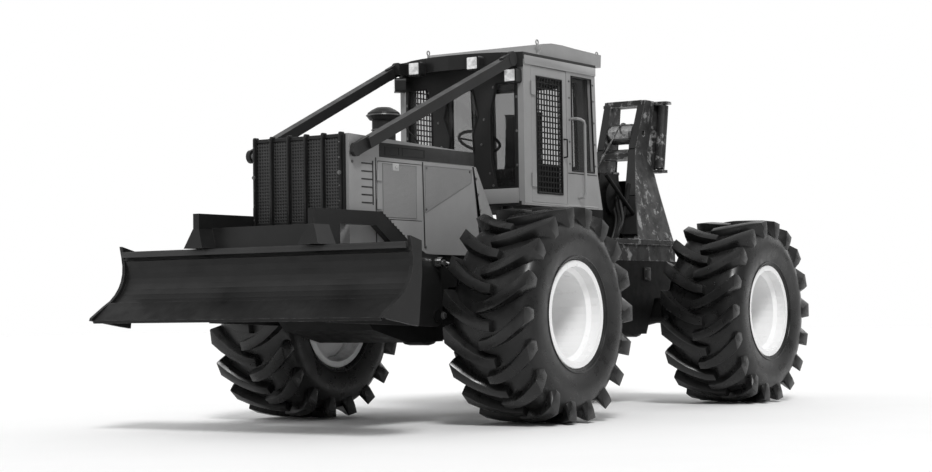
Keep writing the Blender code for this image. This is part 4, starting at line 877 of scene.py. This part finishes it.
def frontStrip(corners, v):  # a plate on four corners, standing proud towards the blade
    shift = Vector((0, -v["stripWall"], 0))
    middle = sum((Vector(corner) for corner in corners), Vector()) / 4
    near = [Vector(corner) * (1 - v["stripShrink"]) + middle * v["stripShrink"] + shift for corner in corners]
    return plateBetween("strip", near, [Vector(corner) - shift * v["stripBack"] for corner in corners])


def makeArchTrim(v):
    braces, strips, hoses = [], [], []
    for sign in (-1, 1):
        for *ends, radius in v["braces"]:
            braces.append(sweep([(sign * x, y + mid, z) for x, y, z in ends], radius, 12))
    for sign in (-1, 1):
        for (inA, outA, yA, zA), (inB, outB, yB, zB) in zip(v["strip"], v["strip"][1:]):
            corners = ((inA, yA, zA), (outA, yA, zA), (outB, yB, zB), (inB, yB, zB))
            strips.append(frontStrip([(sign * x, y + mid, z) for x, y, z in corners], v))
    start, end, low, high = v["tie"]
    tie = block((-v["tieHalf"], start + mid, low), (v["tieHalf"], end + mid, high), v["tieBevel"])
    finished("archBraces", braces + [tie], "rear_chassis", "frame_paint")
    finished("archStrips", strips, "rear_chassis", "dark_paint")
    for i, x in enumerate(v["hoses"]):
        path = [(x + out, y + stepY * i + mid, z + stepZ * i) for out, y, z, stepY, stepZ in v["hosePath"]]
        endX, y, z, stepZ = v["hoseEnd"]
        path.append((endX, y + mid, z + stepZ * i))
        hoses.append(sweep(curved(path, v["hosePoints"]), v["hoseRadius"], 10))
    finished("winchHoses", hoses, "rear_chassis", "hoseRubber")


makeRearTrim(rearTrim)
makeArchTrim(archTrim)
print("rear made")


def makePad(nodeName, name, v):  # a smaller copy of the CAD cushion, swollen inside the cushion's box
    low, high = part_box(nodeName)
    obj = copyTo(nodes[nodeName], Matrix.Identity(4))
    obj.parent = None
    for key in list(obj.keys()):
        del obj[key]
    centre, size = (low + high) / 2, high - low
    shrink = [1 - 2 * min(v["margin"], v["most"] * side) / side for side in size]
    obj.data.transform(Matrix.Translation(centre) @ Matrix.Diagonal((*shrink, 1)) @ Matrix.Translation(-centre))
    pick(obj)
    bpy.ops.object.mode_set(mode="EDIT")
    bpy.ops.mesh.select_all(action="SELECT")
    bpy.ops.mesh.remove_doubles(threshold=v["weld"])
    bpy.ops.object.mode_set(mode="OBJECT")
    shell = obj.modifiers.new("remesh", "REMESH")
    shell.mode = "VOXEL"
    shell.voxel_size = v["voxel"]
    bpy.ops.object.modifier_apply(modifier=shell.name)
    rest = [vert.co.copy() for vert in obj.data.vertices]
    cloth = obj.modifiers.new("cloth", "CLOTH")
    cloth.settings.use_pressure = True
    cloth.settings.uniform_pressure_force = v["pressure"]
    cloth.settings.effector_weights.gravity = 0
    for step in range(1, v["frames"] + 1):
        bpy.context.scene.frame_set(step)
    bpy.ops.object.modifier_apply(modifier=cloth.name)
    bpy.context.scene.frame_set(1)
    for vert, before in zip(obj.data.vertices, rest):
        move = vert.co - before
        if move.length > v["cap"]:
            move = move.normalized() * v["cap"]
        for axis in range(3):
            vert.co[axis] = min(max(before[axis] + move[axis], low[axis] + v["gap"]), high[axis] - v["gap"])
    finer = obj.modifiers.new("finer", "SUBSURF")
    finer.levels = finer.render_levels = 1
    pick(obj)
    bpy.ops.object.modifier_apply(modifier=finer.name)
    made = finished(name, [obj], "front_chassis", "seat_cloth", v["smooth"], [nodeName])


padding = {"margin": 0.020, "most": 0.2, "weld": 0.0005, "voxel": 0.006, "pressure": 4, "frames": 20, "cap": 0.022,
           "gap": 0.001, "smooth": 60}
makePad("seat_cushion", "seatPad", padding)
makePad("seat_back", "backPad", padding)
print("seat made")

# a room that is white on one side and above, and darker elsewhere
backdrop = {"across": -0.553, "along": 0.833, "base": 0.25, "white": 1.0, "roof": 0.62, "sideFrom": 0.55,
            "sideTo": 0.90, "roofFrom": 0.25, "roofTo": 0.75}
# each sun has where it stands, its strength and its width in degrees
stage = {"floorSize": 120, "floorDown": 0.002,
         "suns": {"key": ((7, -8, 11), 2.0, 14), "side": ((-9, -6, 5), 0.45, 60), "back": ((3, 12, 8), 0.5, 60)}}


def makeStudio(v):
    world = bpy.data.worlds.new("studio")
    world.use_nodes = True
    tree = world.node_tree
    split = tree.nodes.new("ShaderNodeSeparateXYZ")
    wire(tree, tree.nodes.new("ShaderNodeTexCoord").outputs["Generated"], split.inputs[0])
    ahead = sums(tree, "ADD", sums(tree, "MULTIPLY", split.outputs["X"], v["across"]),
                 sums(tree, "MULTIPLY", split.outputs["Y"], v["along"]))
    behind = spread(tree, ahead, v["sideFrom"], v["sideTo"], v["base"], v["white"])
    above = spread(tree, split.outputs["Z"], v["roofFrom"], v["roofTo"], v["base"], v["roof"])
    background = tree.nodes["Background"]
    background.inputs["Color"].default_value = (1, 1, 1, 1)
    wire(tree, sums(tree, "MAXIMUM", behind, above), background.inputs["Strength"])
    bpy.context.scene.world = world


def makeStage(v):
    deselectAll()
    bpy.ops.mesh.primitive_plane_add(size=v["floorSize"], location=(0, 0, -v["floorDown"]))
    floor = fixPlace()
    floor.name = "floor"
    floor.data.materials.append(finishes["floorPaper"])
    for name, (place, power, wide) in v["suns"].items():
        data = bpy.data.lights.new(name, "SUN")
        data.energy = power
        data.angle = math.radians(wide)
        lamp = bpy.data.objects.new(name, data)
        lamp.rotation_euler = (-Vector(place)).to_track_quat("-Z", "Y").to_euler()
        bpy.context.scene.collection.objects.link(lamp)
    bpy.context.scene.view_settings.view_transform = "Standard"


makeStudio(backdrop)
makeStage(stage)
deselectAll()
bpy.context.view_layer.update()
print("stage made")
